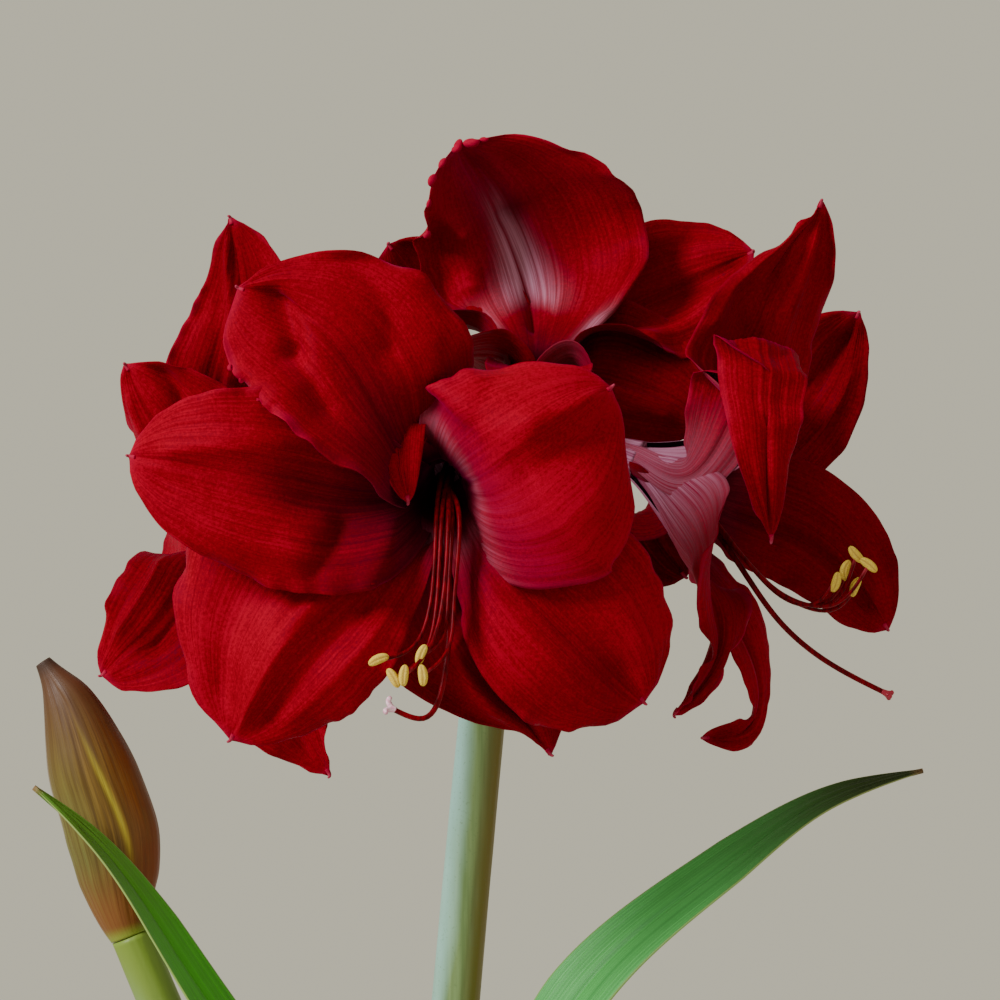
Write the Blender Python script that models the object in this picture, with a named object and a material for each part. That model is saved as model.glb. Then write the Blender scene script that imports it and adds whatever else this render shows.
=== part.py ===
"""Amaryllis in a pot: four open blooms on a thick stalk, a second stalk with a bud, and two leaves.

Every size is in millimetres and is turned into metres where a mesh is made.
+X is to the right, +Y goes away from the viewer and +Z is up.
The origin is the middle of the pot's underside.
"""

import math
from dataclasses import dataclass

import bmesh
import bpy
import numpy as np

MM = 0.001
GAP = 0.3
EPSILON = 1e-6

# Pot
POT_HEIGHT = 140.0
POT_TOP_RADIUS = 78.0
POT_FOOT_RADIUS = 54.0
POT_WALL = 6.0
POT_FLOOR = 9.0
POT_COLLAR_HEIGHT = 30.0
POT_COLLAR_STEP = 3.5
DRAIN_HOLES = 4
DRAIN_HOLE_RADIUS = 5.0
DRAIN_RING_RADIUS = 28.0
POT_EDGE = 1.5
ROUND_SIDES = 24
OVERSHOOT = 2.0
SHARP_ANGLE = 35.0

# Soil
SOIL_TOP = 127.0
SOIL_CROWN = 4.0
SOIL_SHOULDER = 0.85

# Bulb
BULB_FOOT = 78.0
NECK_TOP = 185.0
NECK_RADIUS = 27.5
BULB_RADIUS = 50.0
BULB_LOWER = ((12.0, BULB_FOOT), (30.0, 84.0), (44.0, 97.0), (BULB_RADIUS, 117.0), (48.0, 135.0))
BULB_UPPER = ((41.0, 151.0), (32.5, 164.0), (28.0, 175.0), (NECK_RADIUS, NECK_TOP))
SOCKET_DEPTH = 22.0
SOCKET_SAMPLES = (8, 16)
SLOT_ROWS = 4
SLOT_SPREAD = 1.3

# Stalks
SEAT = NECK_TOP - SOCKET_DEPTH + GAP
MAIN_ROUTE = ((3.8, 6.8, SEAT), (11.0, 6.0, 270.0), (20.6, 5.0, 392.0), (35.0, 4.0, 545.0))
MAIN_RADIUS = (9.8, 8.4)
SECOND_ROUTE = ((-12.5, -5.5, SEAT), (-48.0, -3.0, 290.0), (-85.0, 0.0, 382.0), (-99.6, 0.0, 416.5))
SECOND_RADIUS = (8.6, 7.6)
STALK_SIDES = 12
STALK_ROWS = 8
PEDICEL_RADIUS = 4.0
PEDICEL_ROOT = 6.0
OVARY_LENGTH = 15.0
OVARY_RADIUS = 6.0
OVARY_SWELL = (0.62, 0.9, 1.0, 0.95, 0.78)
OVARY_SINK = 3.0

# Bud
BUD_ROUTE = ((-99.6, 0.0, 416.5), (-106.7, 0.0, 452.4), (-114.4, 1.0, 477.2), (-123.3, 2.0, 502.4),
             (-132.6, 3.0, 517.6))
BUD_SHARES = (0.0, 0.08, 0.2, 0.35, 0.6, 0.8, 0.92, 1.0)
BUD_HALF_WIDTHS = (7.8, 10.5, 14.8, 17.2, 16.4, 11.4, 6.6, 1.2)
BUD_FLATNESS = 0.8
BUD_ROWS = 10

# Tepals: the petal-like blades, each with a narrow claw in the tube
TUBE_LENGTH = 13.0
TUBE_RADIUS = (4.8, 7.8)
TUBE_SIDES = 10
TEPAL_THICKNESS = 0.9
INNER_RING = 4.9
OUTER_RING = 7.3
ROOT_INSET = 1.4
ROOT_DEPTH = 7.0
HUG_LIMIT = 1.2
CLAW_HALF_WIDTH = 4.2
TIP_HALF_WIDTH = 0.8
TAPERING = 2.3
STRAP_POWER = 9.0
RUFFLES = 2.1
RUFFLE_LAG = 1.9
RUFFLE_POWER = 2.2
TEPAL_ROWS = 9
TEPAL_COLUMNS = 4
ARC_STEPS = 25
SWEEP_LENGTH = 0.15
SWEEP_FADE = 0.75
FOLD_SCALE = (35.0, 130.0)
FOLD_POWER = 1.5
FOLD_FADE = 0.88
STRAP_START = 0.3
RUFFLE_SHARES = (0.3, 0.55, 0.93)
OPENING = (0.7, 0.2)

# Stamens and style
FILAMENT_RADIUS = 1.0
FILAMENT_RING = 2.6
STAMENS_IN_A_RING = 6
THREAD_ROOT = 4.0
THREAD_RISE = 6.0
ANTHER_LENGTH = 7.5
ANTHER_RADIUS = 1.7
ANTHER_SWELL = (0.55, 1.0, 1.0, 0.6)
ANTHER_LEANS = (-0.35, 0.0, 0.35)
STYLE_RADIUS = 1.2
STIGMA_LENGTH = 3.0
STIGMA_RADIUS = (1.0, 2.4)

# Leaves
LEAF_THICKNESS = 2.6
LEAF_ROWS = 13
LEFT_LEAF_ROUTE = ((-0.6, -15.5, SEAT), (-5.0, -19.0, 235.0), (-30.0, -28.0, 330.0), (-70.5, -28.0, 395.4),
                   (-107.3, -28.0, 449.3), (-132.8, -28.0, 473.0))
LEFT_LEAF_FACES = ((1.0, 0.0, 0.0), (1.0, -0.1, 0.0), (0.85, -0.35, 0.35), (0.75, -0.45, 0.5),
                   (0.7, -0.45, 0.7), (0.6, -0.45, 0.8))
RIGHT_LEAF_ROUTE = ((20.0, 1.0, SEAT), (24.0, 0.0, 235.0), (40.0, -3.0, 325.0), (65.2, -6.0, 392.4),
                    (120.4, -12.0, 442.4), (157.4, -12.0, 467.0), (192.6, -12.0, 478.0))
RIGHT_LEAF_FACES = ((-1.0, 0.0, 0.0), (-1.0, -0.1, 0.0), (-0.75, -0.6, 0.3), (-0.55, -0.7, 0.5),
                    (-0.45, -0.65, 0.65), (-0.3, -0.65, 0.8), (-0.2, -0.65, 0.9))
LEAF_SHARES = (0.0, 0.12, 0.35, 0.6, 0.8, 0.93, 1.0)
LEAF_HALF_WIDTHS = (9.5, 12.0, 16.5, 16.0, 11.5, 5.5, 1.0)
LEAF_FOLD = 9.0


@dataclass
class Tepal:
    """One petal-like blade, with its points in millimetres from the bloom's throat."""

    turn: float
    belly: tuple
    tip: tuple
    face: tuple
    half: tuple
    tip_face: tuple = None
    bend: tuple = None
    cup: tuple = (8.0, 8.0)
    roll: tuple = (0.0, 0.0)
    wave: float = 2.0
    phase: float = 0.0
    widest: tuple = (0.55, 0.55)
    growth: tuple = (2.0, 2.0)
    blunt: tuple = (0.62, 0.62)
    sweep: tuple = (0.0, 0.0)
    folds: tuple = ()
    tail: float = 0.0
    funnel: float = 26.0
    flare: float = 0.3
    inner: bool = False


@dataclass
class Bloom:
    """A bloom: its throat in the plant's frame, the way it faces, its tepals and its stamens."""

    throat: tuple
    axis: tuple
    pedicel: tuple
    tepals: dict
    filaments: list
    style: list


def unit(vector):
    vector = np.asarray(vector, float)
    return vector / np.linalg.norm(vector, axis=-1, keepdims=True)


def ease(low, high, value):
    t = np.clip((np.asarray(value, float) - low) / (high - low), 0.0, 1.0)
    return t * t * (3.0 - 2.0 * t)


def spline(points, lead=None, samples=160):
    """A smooth curve through the points as dense samples, and each point's share of its length."""
    points = np.asarray(points, float)
    steps = np.linalg.norm(np.diff(points, axis=0), axis=1) ** 0.8
    knots = np.concatenate([[0.0], np.cumsum(steps)])
    count = len(points)
    system = np.zeros((count, count))
    right = np.zeros((count, 3))
    if lead is None:
        system[0, 0] = 1.0
    else:
        system[0, 0] = 2.0 * steps[0]
        system[0, 1] = steps[0]
        slope = (points[1] - points[0]) / steps[0]
        right[0] = 6.0 * (slope - unit(lead) * np.linalg.norm(slope))
    system[-1, -1] = 1.0
    for i in range(1, count - 1):
        system[i, i - 1] = steps[i - 1]
        system[i, i] = 2.0 * (steps[i - 1] + steps[i])
        system[i, i + 1] = steps[i]
        after = (points[i + 1] - points[i]) / steps[i]
        before = (points[i] - points[i - 1]) / steps[i - 1]
        right[i] = 6.0 * (after - before)
    second = np.linalg.solve(system, right)
    t = np.linspace(0.0, knots[-1], samples)
    i = np.clip(np.searchsorted(knots, t, side="right") - 1, 0, count - 2)
    h = steps[i][:, None]
    a = (knots[i + 1] - t)[:, None] / h
    b = 1.0 - a
    curve = a * points[i] + b * points[i + 1]
    curve += ((a**3 - a) * second[i] + (b**3 - b) * second[i + 1]) * h * h / 6.0
    run = np.concatenate([[0.0], np.cumsum(np.linalg.norm(np.diff(curve, axis=0), axis=1))])
    shares = np.interp(knots, t, run / run[-1])
    return curve, run / run[-1], shares


def along(curve, shares, u):
    """Points and directions of a sampled curve at the shares u of its length."""
    place = np.stack([np.interp(u, shares, curve[:, k]) for k in range(3)], axis=1)
    step = 0.01
    ahead = np.stack([np.interp(np.minimum(u + step, 1), shares, curve[:, k]) for k in range(3)], axis=1)
    behind = np.stack([np.interp(np.maximum(u - step, 0), shares, curve[:, k]) for k in range(3)], axis=1)
    return place, unit(ahead - behind)


def facing(u, key_shares, key_normals, direction):
    """Unit normals eased between the key normals and squared to the curve's direction."""
    normals = np.zeros((len(u), 3))
    for i in range(len(key_shares) - 1):
        low, high = key_shares[i], key_shares[i + 1]
        inside = (u >= low) & (u <= high)
        t = ease(low, high, u[inside])[:, None]
        normals[inside] = (1.0 - t) * key_normals[i] + t * key_normals[i + 1]
    normals -= direction * np.sum(normals * direction, axis=1, keepdims=True)
    return unit(normals)


def bloom_frame(axis):
    """The bloom's axis, its upward side and its right side as the viewer of its face sees it."""
    axis = unit(axis)
    up = np.array([0.0, 0.0, 1.0])
    if abs(axis[2]) > 0.8:
        up = np.array([0.0, 1.0, 0.0])
    up = unit(up - axis * np.dot(up, axis))
    return axis, up, np.cross(up, axis)


def half_width(tepal, side, u):
    """Half width of the blade at the share u: narrow claw, broad belly and a pointed tip."""
    broad = tepal.half[side]
    widest = tepal.widest[side]
    grown = np.sin(0.5 * math.pi * np.clip(u / widest, 0.0, 1.0)) ** tepal.growth[side]
    beyond = np.clip((u - widest) / (1.0 - widest), 0.0, 1.0)
    closing = np.clip(1.0 - beyond**TAPERING, 0.0, 1.0) ** tepal.blunt[side]
    width = (CLAW_HALF_WIDTH + (broad - CLAW_HALF_WIDTH) * grown) * closing
    strap = tepal.tail * ease(0.0, STRAP_START, u) * np.sqrt(1.0 - u**STRAP_POWER)
    return np.maximum(np.maximum(width, strap), TIP_HALF_WIDTH)


def tepal_midrib(bloom, tepal):
    """Points and inner-face directions of the blade's middle line, from the tube to the tip."""
    axis, up, right = bloom_frame(bloom.axis)
    throat = np.asarray(bloom.throat, float)
    angle = math.radians(tepal.turn)
    radial = up * math.cos(angle) + right * math.sin(angle)
    ring = INNER_RING if tepal.inner else OUTER_RING
    root = throat - axis * ROOT_DEPTH + radial * (ring - ROOT_INSET)
    mouth = throat + axis * tepal.funnel + radial * (ring + tepal.flare * tepal.funnel)
    points = [root, throat + radial * ring, mouth, throat + np.asarray(tepal.belly, float)]
    normals = [-radial, -radial, -radial + 0.15 * axis, unit(tepal.face)]
    tip_face = unit(tepal.tip_face or tepal.face)
    if tepal.bend is not None:
        points.append(throat + np.asarray(tepal.bend, float))
        normals.append(tip_face)
    points.append(throat + np.asarray(tepal.tip, float))
    normals.append(tip_face)
    return points, normals, axis, ring


def summed(values):
    """Running mean of the values along each row, which starts at zero."""
    start = np.zeros((len(values), 1))
    return np.concatenate([start, np.cumsum(values, axis=1)], axis=1) / values.shape[1]


def fold_height(tepal, share, u):
    """Height of the blade's folds: each is a ridge or, below zero, a valley along a line over the blade."""
    height = np.zeros(np.broadcast(share, u).shape)
    for start_share, start_run, end_share, end_run, width, rise in tepal.folds:
        start = np.multiply((start_share, start_run), FOLD_SCALE)
        line = np.multiply((end_share, end_run), FOLD_SCALE) - start
        x = share * FOLD_SCALE[0] - start[0]
        y = u * FOLD_SCALE[1] - start[1]
        t = np.clip((x * line[0] + y * line[1]) / np.dot(line, line), 0.0, 1.0)
        distance = np.hypot(x - t * line[0], y - t * line[1])
        height = height + rise * np.exp(-((distance / width) ** FOLD_POWER))
    return height * (1.0 - ease(FOLD_FADE, 1.0, u))


def tepal_points(bloom, tepal, rows, columns):
    """Grid of points of the blade's middle surface: rows run from the tube to the tip."""
    points, normals, axis, ring_radius = tepal_midrib(bloom, tepal)
    curve, run, shares = spline(points, lead=axis)
    mouth_share = shares[2]
    u = np.linspace(0.0, 1.0, rows + 1)
    place, direction = along(curve, run, u)
    normal = facing(u, shares, normals, direction)
    across = np.cross(direction, normal)
    opened = ease(mouth_share * OPENING[0], mouth_share + OPENING[1], u)[:, None]
    ring = ring_radius + tepal.flare * tepal.funnel * np.clip(u / mouth_share, 0.0, 1.0)
    start, full, last = RUFFLE_SHARES
    ruffled = ease(start, full, u) * (1.0 - ease(last, 1.0, u))
    heading = unit(points[3] - points[2])
    swept = ease(mouth_share, mouth_share + SWEEP_LENGTH, u) * (1.0 - ease(SWEEP_FADE, 1.0, u))
    steps = np.linspace(0.0, 1.0, ARC_STEPS)
    grid = np.zeros((rows + 1, columns + 1, 3))
    for side, hand in ((0, -1.0), (1, 1.0)):
        width = half_width(tepal, side, u)
        hug = np.minimum(width / ring, HUG_LIMIT)[:, None] * steps
        lean = math.radians(tepal.cup[side]) + math.radians(tepal.roll[side]) * steps**2
        slope = (1.0 - opened) * hug + opened * lean
        slope = 0.5 * (slope[:, 1:] + slope[:, :-1])
        out = summed(np.cos(slope))
        rise = summed(np.sin(slope))
        ruffle = tepal.wave * np.sin(2.0 * math.pi * RUFFLES * u + tepal.phase + RUFFLE_LAG * side)
        for k, share in enumerate(np.linspace(-1.0, 1.0, columns + 1)):
            if share * hand < 0.0:
                continue
            t = abs(share)
            reach = np.array([np.interp(t, steps, row) for row in out]) * width * hand
            lift = np.array([np.interp(t, steps, row) for row in rise]) * width
            lift += t**RUFFLE_POWER * ruffled * ruffle + opened[:, 0] * fold_height(tepal, share, u)
            back = tepal.sweep[side] * t**2 * swept
            grid[:, k] = place + across * reach[:, None] + normal * lift[:, None] - np.outer(back, heading)
    return grid


# Blooms
def front_bloom():
    tepals = {
        "upper_left": Tepal(
            turn=-48, flare=0.22, belly=(-37, -44, 43), tip=(-73, -32, 64), face=(0.1, -0.95, -0.3),
            half=(35, 42), cup=(28, -6), roll=(0, -25), wave=2.5, phase=0.6, widest=(0.66, 0.6),
            blunt=(0.36, 1.1), growth=(1.8, 1.5), sweep=(0, 8),
            folds=((0.1, 0.92, -0.43, 0.76, 5, -5), (-0.43, 0.76, -0.53, 0.55, 5, -4),
                   (-0.85, 0.85, -0.75, 0.65, 8, 3), (0.77, 0.8, 0.35, 0.6, 5, -3),
                   (0.9, 0.65, 0.6, 0.5, 8, 3))),
        "left": Tepal(
            inner=True, turn=-95, flare=0.22, belly=(-64, -48, -4), tip=(-111, -34, 5),
            face=(0.1, -0.97, 0.05),
            half=(36, 33), cup=(4, 12), roll=(-30, -10), wave=2.5, phase=2.0, widest=(0.5, 0.58),
            growth=(2.4, 2.0), sweep=(4, 0),
            folds=((-0.1, 0.25, -0.03, 0.5, 13, -5), (0.17, 0.88, 0.55, 0.5, 7, 3),
                   (-0.97, 0.4, -0.35, 0.32, 5, 5), (-0.8, 0.5, -0.3, 0.42, 5, -4),
                   (-0.3, 0.9, -0.45, 0.6, 6, -2))),
        "lower_left": Tepal(
            turn=-145, flare=0.22, belly=(-53, -40, -56), tip=(-76, -26, -95), face=(-0.1, -0.95, 0.2),
            half=(36, 66), cup=(-6, -4), roll=(-20, -30), wave=2.0, widest=(0.64, 0.54), growth=(3.0, 2.6),
            blunt=(0.62, 0.95), sweep=(0, 6),
            folds=((0.03, 0.5, -0.08, 0.97, 5, 4), (-0.3, 0.5, -0.35, 0.9, 6, -3),
                   (-0.65, 0.55, -0.6, 0.85, 6, 2), (0.35, 0.55, 0.4, 0.9, 8, -3))),
        "right": Tepal(
            inner=True, turn=72, flare=0.22, belly=(23, -56, 3), tip=(58, -42, 29), face=(0.05, -1.0, -0.05),
            half=(38, 54), cup=(-4, -4), roll=(-20, -25), wave=1.5, phase=1.0, widest=(0.5, 0.58),
            growth=(2.0, 2.8), sweep=(14, 0),
            folds=((0.05, 0.98, -0.2, 0.72, 5, 3), (0.22, 0.92, 0.1, 0.6, 6, -3),
                   (-0.75, 0.75, -0.4, 0.5, 6, -2), (0.6, 0.75, 0.5, 0.5, 8, 2))),
        "lower_right": Tepal(
            turn=125, flare=0.22, belly=(50, -36, -58), tip=(70, -22, -82), face=(0.1, -0.97, 0.15),
            half=(39, 38), cup=(0, 0), roll=(-15, -15), wave=2.0, phase=4.0, blunt=(0.55, 0.5),
            widest=(0.58, 0.7), growth=(2.0, 2.6), sweep=(4, 0),
            folds=((0.55, 0.45, 0.3, 0.85, 9, 3), (0.1, 0.55, 0.0, 0.9, 7, -3),
                   (-0.5, 0.6, -0.4, 0.85, 8, 2))),
        "bottom": Tepal(
            inner=True, turn=178, flare=0.22, belly=(10, -20, -56), tip=(37, -6, -101), face=(0.0, -1.0, 0.1),
            half=(32, 34), cup=(0, 4), wave=2.0, phase=3.0, widest=(0.52, 0.5), blunt=(0.8, 2.0),
            folds=((-0.25, 0.54, 0.27, 0.58, 4, 4), (0.27, 0.58, 0.5, 0.8, 5, 4),
                   (0.05, 0.64, 0.2, 0.88, 5, -4), (0.75, 0.5, 0.7, 0.7, 5, -3))),
        "lobe": Tepal(
            inner=True, turn=-38, funnel=14, belly=(-15, -29, 16), bend=(-16, -38, 4), tip=(-13, -38, -11),
            face=(-0.1, -0.3, 1.0), tip_face=(0.1, -1.0, 0.1), half=(9, 8), cup=(0, 0), roll=(-15, -15),
            wave=0.5, growth=(1.0, 1.0)),
    }
    filaments = [
        [(-3, -30, -12), (-5, -42, -45), (-12, -48, -62), (-23, -52, -66)],
        [(-1, -31, -12), (-3, -44, -46), (-9, -52, -66), (-18, -56, -72)],
        [(1, -32, -12), (-1, -46, -46), (-7, -54, -64), (-14, -58, -71)],
        [(2, -30, -12), (1, -42, -44), (-2, -50, -60), (-8, -54, -64)],
        [(4, -31, -12), (3, -44, -46), (0, -52, -64), (-8, -57, -71)],
    ]
    style = [(0, -28, -12), (1, -38, -40), (0, -46, -70), (-7, -50, -86), (-18, -50, -83)]
    return Bloom(
        throat=(18, -64, 588), axis=(-0.1, -0.95, -0.3), pedicel=(30, -18, 574),
        tepals=tepals, filaments=filaments, style=style)


def right_bloom():
    tepals = {
        "upper": Tepal(
            inner=True, turn=-10, flare=0.6, belly=(45, -14, 40), tip=(66, -22, 94),
            face=(0.35, -0.85, -0.35),
            half=(33, 21), cup=(6, 0), roll=(-20, 10), wave=2.5, phase=1.0, widest=(0.42, 0.5),
            blunt=(1.5, 0.7),
            folds=((-0.7, 0.7, 0.1, 0.45, 6, -3), (0.25, 0.9, 0.3, 0.6, 5, 2),
                   (-0.4, 0.95, -0.3, 0.7, 6, -3), (-0.85, 0.85, -0.8, 0.6, 5, 3))),
        "near": Tepal(
            turn=-75, flare=0.6, belly=(42, -36, 43), bend=(44, -57, 10), tip=(46, -54, -29),
            face=(0.2, -0.2, 1.0), tip_face=(0.3, -0.95, 0.15), half=(17, 18),
            cup=(-4, -4), roll=(-14, -12), wave=1.0, widest=(0.5, 0.5), blunt=(1.0, 1.0),
            folds=((0.0, 0.78, 0.1, 0.95, 4, -2),)),
        "far_right": Tepal(
            turn=55, flare=0.6, belly=(59, 26, 14), tip=(82, 14, 55), face=(0.1, -1.0, 0.0),
            half=(32, 22), cup=(0, 0), roll=(-10, 0), phase=2.0, widest=(0.55, 0.38),
            blunt=(0.62, 0.8),
            folds=((-0.3, 0.5, 0.0, 0.9, 6, -3), (0.4, 0.5, 0.5, 0.8, 6, 2))),
        "lower_right": Tepal(
            inner=True, turn=110, flare=0.6, belly=(61, 14, -28), tip=(92, 4, -62), face=(0.05, -0.95, 0.3),
            half=(28, 20), cup=(0, 0), roll=(0, -10), wave=1.5, phase=0.5, widest=(0.48, 0.55),
            blunt=(0.75, 0.5),
            folds=((0.0, 0.4, 0.1, 0.9, 5, -3), (-0.6, 0.5, -0.4, 0.85, 7, 2))),
        "near_low": Tepal(
            inner=True, turn=-130, flare=0.7, belly=(29, -40, -66), tip=(12, -36, -92),
            face=(0.8, -0.55, 0.1),
            half=(26, 32), cup=(12, 12), wave=1.5, phase=0.3, widest=(0.42, 0.44), growth=(1.5, 1.5),
            blunt=(4.0, 4.0), tail=7.0,
            folds=((0.1, 0.5, 0.0, 0.9, 4, -3),)),
        "lowest": Tepal(
            turn=178, flare=0.6, belly=(41, -12, -72), bend=(41, -12, -97), tip=(23, -18, -101),
            face=(0.75, -0.6, 0.2), half=(16, 16), cup=(10, 10), wave=1.0, phase=1.0, widest=(0.4, 0.4),
            blunt=(2.0, 2.0), tail=7.0,
            folds=((0.0, 0.45, 0.0, 0.85, 4, -2),)),
        "fold": Tepal(
            inner=True, turn=170, funnel=6, belly=(5, 12, -22), tip=(18, 16, -43), face=(0.2, -0.95, 0.1),
            half=(13, 21), cup=(0, 0), roll=(0, -10), wave=0.5, widest=(0.5, 0.5), growth=(1.0, 0.8),
            blunt=(1.0, 0.5)),
    }
    filaments = [
        [(38, -24, -36), (54, -28, -50), (68, -30, -52), (78, -30, -34)],
        [(38, -25, -36), (54, -30, -50), (70, -33, -52), (82, -33, -38)],
        [(38, -23, -36), (54, -26, -50), (66, -27, -52), (75, -27, -40)],
        [(38, -24, -36), (52, -28, -50), (62, -32, -52), (70, -32, -44)],
        [(38, -24, -36), (55, -28, -51), (70, -28, -54), (78, -28, -46)],
    ]
    style = [(36, -22, -38), (50, -26, -58), (66, -28, -72), (88, -30, -84)]
    return Bloom(
        throat=(88, -12, 592), axis=(0.88, -0.28, -0.37), pedicel=(54, 2, 590),
        tepals=tepals, filaments=filaments, style=style)


def top_bloom():
    tepals = {
        "upper": Tepal(
            inner=True, turn=0, funnel=10, belly=(-3, 26, 45), bend=(-12, 20, 69), tip=(-28, 2, 94),
            face=(0.0, -0.97, 0.15), tip_face=(0.2, -0.9, -0.3),
            half=(39, 52), cup=(4, 8), roll=(15, 12), wave=3.0, phase=1.6, widest=(0.52, 0.6),
            blunt=(0.5, 0.78), sweep=(0, 12),
            folds=((0.03, 0.92, 0.08, 0.68, 4, -3), (0.08, 0.68, 0.0, 0.3, 4, -4),
                   (-0.9, 0.95, -0.45, 0.73, 4, 3), (-0.45, 0.73, -0.5, 0.5, 6, 3),
                   (-0.78, 0.75, -0.8, 0.45, 8, -4), (0.95, 0.2, 0.95, 0.5, 5, 5),
                   (0.45, 0.85, 0.5, 0.5, 10, -3), (-0.7, 0.26, -0.6, 0.4, 3, -3))),
        "right_up": Tepal(
            turn=62, funnel=14, belly=(46, 22, 38), tip=(83, 12, 55), face=(-0.2, -0.9, 0.3),
            half=(33, 30), cup=(0, 0), roll=(-10, 10), wave=2.0, widest=(0.5, 0.6), blunt=(0.8, 0.62),
            folds=((0.0, 0.4, 0.1, 0.9, 6, -3), (0.6, 0.5, 0.5, 0.85, 7, 3))),
        "right_down": Tepal(
            inner=True, turn=100, funnel=8, belly=(34, 2, 6), tip=(66, 4, -9), face=(-0.1, -0.9, 0.35),
            half=(32, 24), cup=(0, 0), roll=(-10, -10), wave=2.0, phase=2.0, widest=(0.5, 0.5),
            growth=(1.5, 0.8),
            folds=((0.0, 0.4, -0.1, 0.9, 5, -2), (0.5, 0.5, 0.4, 0.8, 6, 3))),
        "near": Tepal(
            turn=180, funnel=10, belly=(2, -24, 9), tip=(2, -44, -2), face=(0.0, 0.3, 0.95),
            half=(20, 20), cup=(5, 5), wave=1.0, phase=2.0),
        "left_down": Tepal(
            inner=True, turn=-120, funnel=12, belly=(-38, -6, 14), tip=(-58, -6, 2), face=(0.2, -0.2, 0.9),
            half=(22, 22), cup=(0, 0), roll=(-10, -10), wave=2.0, phase=1.0),
        "left_up": Tepal(
            turn=-62, funnel=14, belly=(-38, 26, 38), tip=(-54, 22, 58), face=(0.2, -0.9, 0.3),
            half=(30, 28), cup=(0, 0), wave=2.0),
    }
    filaments = [
        [(-2, -10, 9), (-8, -24, 7), (-10, -38, 0)],
        [(0, -11, 10), (-3, -26, 8), (-4, -42, 0)],
        [(2, -11, 10), (3, -26, 8), (3, -40, -1)],
        [(3, -10, 9), (8, -24, 7), (9, -42, 0)],
        [(4, -10, 9), (13, -22, 7), (15, -38, 0)],
    ]
    style = [(2, -12, 9), (6, -28, 7), (6, -50, -1)]
    return Bloom(
        throat=(49, 14, 616), axis=(0.05, -0.35, 0.93), pedicel=(44, 14, 575),
        tepals=tepals, filaments=filaments, style=style)


def left_bloom():
    tepals = {
        "upper": Tepal(
            inner=True, turn=0, belly=(-19, -20, 58), tip=(-22, -26, 96), face=(-0.3, -0.9, 0.1),
            half=(21, 28), cup=(10, 10), roll=(0, 10), wave=2.5, phase=1.0, blunt=(1.0, 0.8),
            folds=((-0.4, 0.92, 0.1, 0.55, 5, 3), (0.5, 0.8, 0.5, 0.5, 6, -3))),
        "near_up": Tepal(
            turn=60, belly=(-42, -28, 12), tip=(-60, -34, 42), face=(-0.4, -0.85, 0.1),
            half=(24, 34), cup=(0, 0), wave=2.0, blunt=(0.9, 0.8), sweep=(16, 0),
            folds=((0.65, 0.92, 0.1, 0.6, 5, -4), (-0.4, 0.85, -0.3, 0.55, 6, 2))),
        "near_down": Tepal(
            inner=True, turn=120, belly=(-42, -20, -40), tip=(-70, -16, -72), face=(-0.4, -0.9, 0.1),
            half=(34, 24), cup=(0, 0), wave=2.0, phase=2.0,
            folds=((-0.2, 0.8, 0.0, 0.45, 6, -4), (0.4, 0.85, 0.45, 0.55, 6, 3))),
        "lowest": Tepal(
            turn=180, belly=(-8, -14, -72), tip=(14, -14, -109), face=(-0.4, -0.9, 0.0),
            half=(22, 26), cup=(0, 0), wave=3.0, phase=1.0, widest=(0.5, 0.55), blunt=(1.1, 0.9),
            folds=((0.0, 0.5, 0.3, 0.9, 5, -3), (0.6, 0.55, 0.7, 0.85, 5, 3))),
        "far_down": Tepal(
            inner=True, turn=-120, belly=(-40, 44, -44), tip=(-46, 66, -70), face=(-0.8, -0.5, 0.0),
            half=(32, 32), cup=(0, 0), wave=2.0),
        "far_up": Tepal(
            turn=-60, belly=(-38, 44, 40), tip=(-42, 66, 62), face=(-0.8, -0.5, 0.0),
            half=(32, 32), cup=(0, 0), wave=2.0, phase=2.0),
    }
    filaments = [
        [(-22, 2, -4), (-36, 4, -4), (-45, 4, 4)],
        [(-22, 4, -4), (-36, 8, -4), (-47, 10, 5)],
        [(-22, 0, -4), (-36, 0, -6), (-44, -2, 1)],
        [(-22, 3, -5), (-37, 7, -8), (-48, 10, -2)],
        [(-22, 1, -5), (-36, 3, -9), (-46, 4, -4)],
    ]
    style = [(-22, 2, -6), (-38, 6, -7), (-54, 10, -2)]
    return Bloom(
        throat=(-40, 8, 585), axis=(-0.92, 0.1, -0.12), pedicel=(-6, 6, 580),
        tepals=tepals, filaments=filaments, style=style)


# Blender helpers
def clear_scene():
    for thing in list(bpy.data.objects):
        bpy.data.objects.remove(thing, do_unlink=True)


def material(name, colour, roughness):
    made = bpy.data.materials.new(name)
    made.use_nodes = True
    shader = made.node_tree.nodes["Principled BSDF"]
    shader.inputs["Base Color"].default_value = (*colour, 1.0)
    shader.inputs["Roughness"].default_value = roughness
    made.diffuse_color = (*colour, 1.0)
    return made


def mesh_object(name, points, faces, collection=None):
    mesh = bpy.data.meshes.new(name)
    mesh.from_pydata([tuple(np.asarray(p, float) * MM) for p in points], [], faces)
    mesh.update()
    made = bpy.data.objects.new(name, mesh)
    (collection or bpy.context.scene.collection).objects.link(made)
    return made


def face_outwards(thing):
    mesh = bmesh.new()
    mesh.from_mesh(thing.data)
    bmesh.ops.recalc_face_normals(mesh, faces=mesh.faces)
    mesh.to_mesh(thing.data)
    mesh.free()


def bake_modifiers(thing):
    """Replaces the object's mesh by its evaluated one and drops the modifiers."""
    bpy.context.view_layer.update()
    graph = bpy.context.evaluated_depsgraph_get()
    mesh = bpy.data.meshes.new_from_object(thing.evaluated_get(graph))
    old = thing.data
    thing.modifiers.clear()
    thing.data = mesh
    bpy.data.meshes.remove(old)


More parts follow.
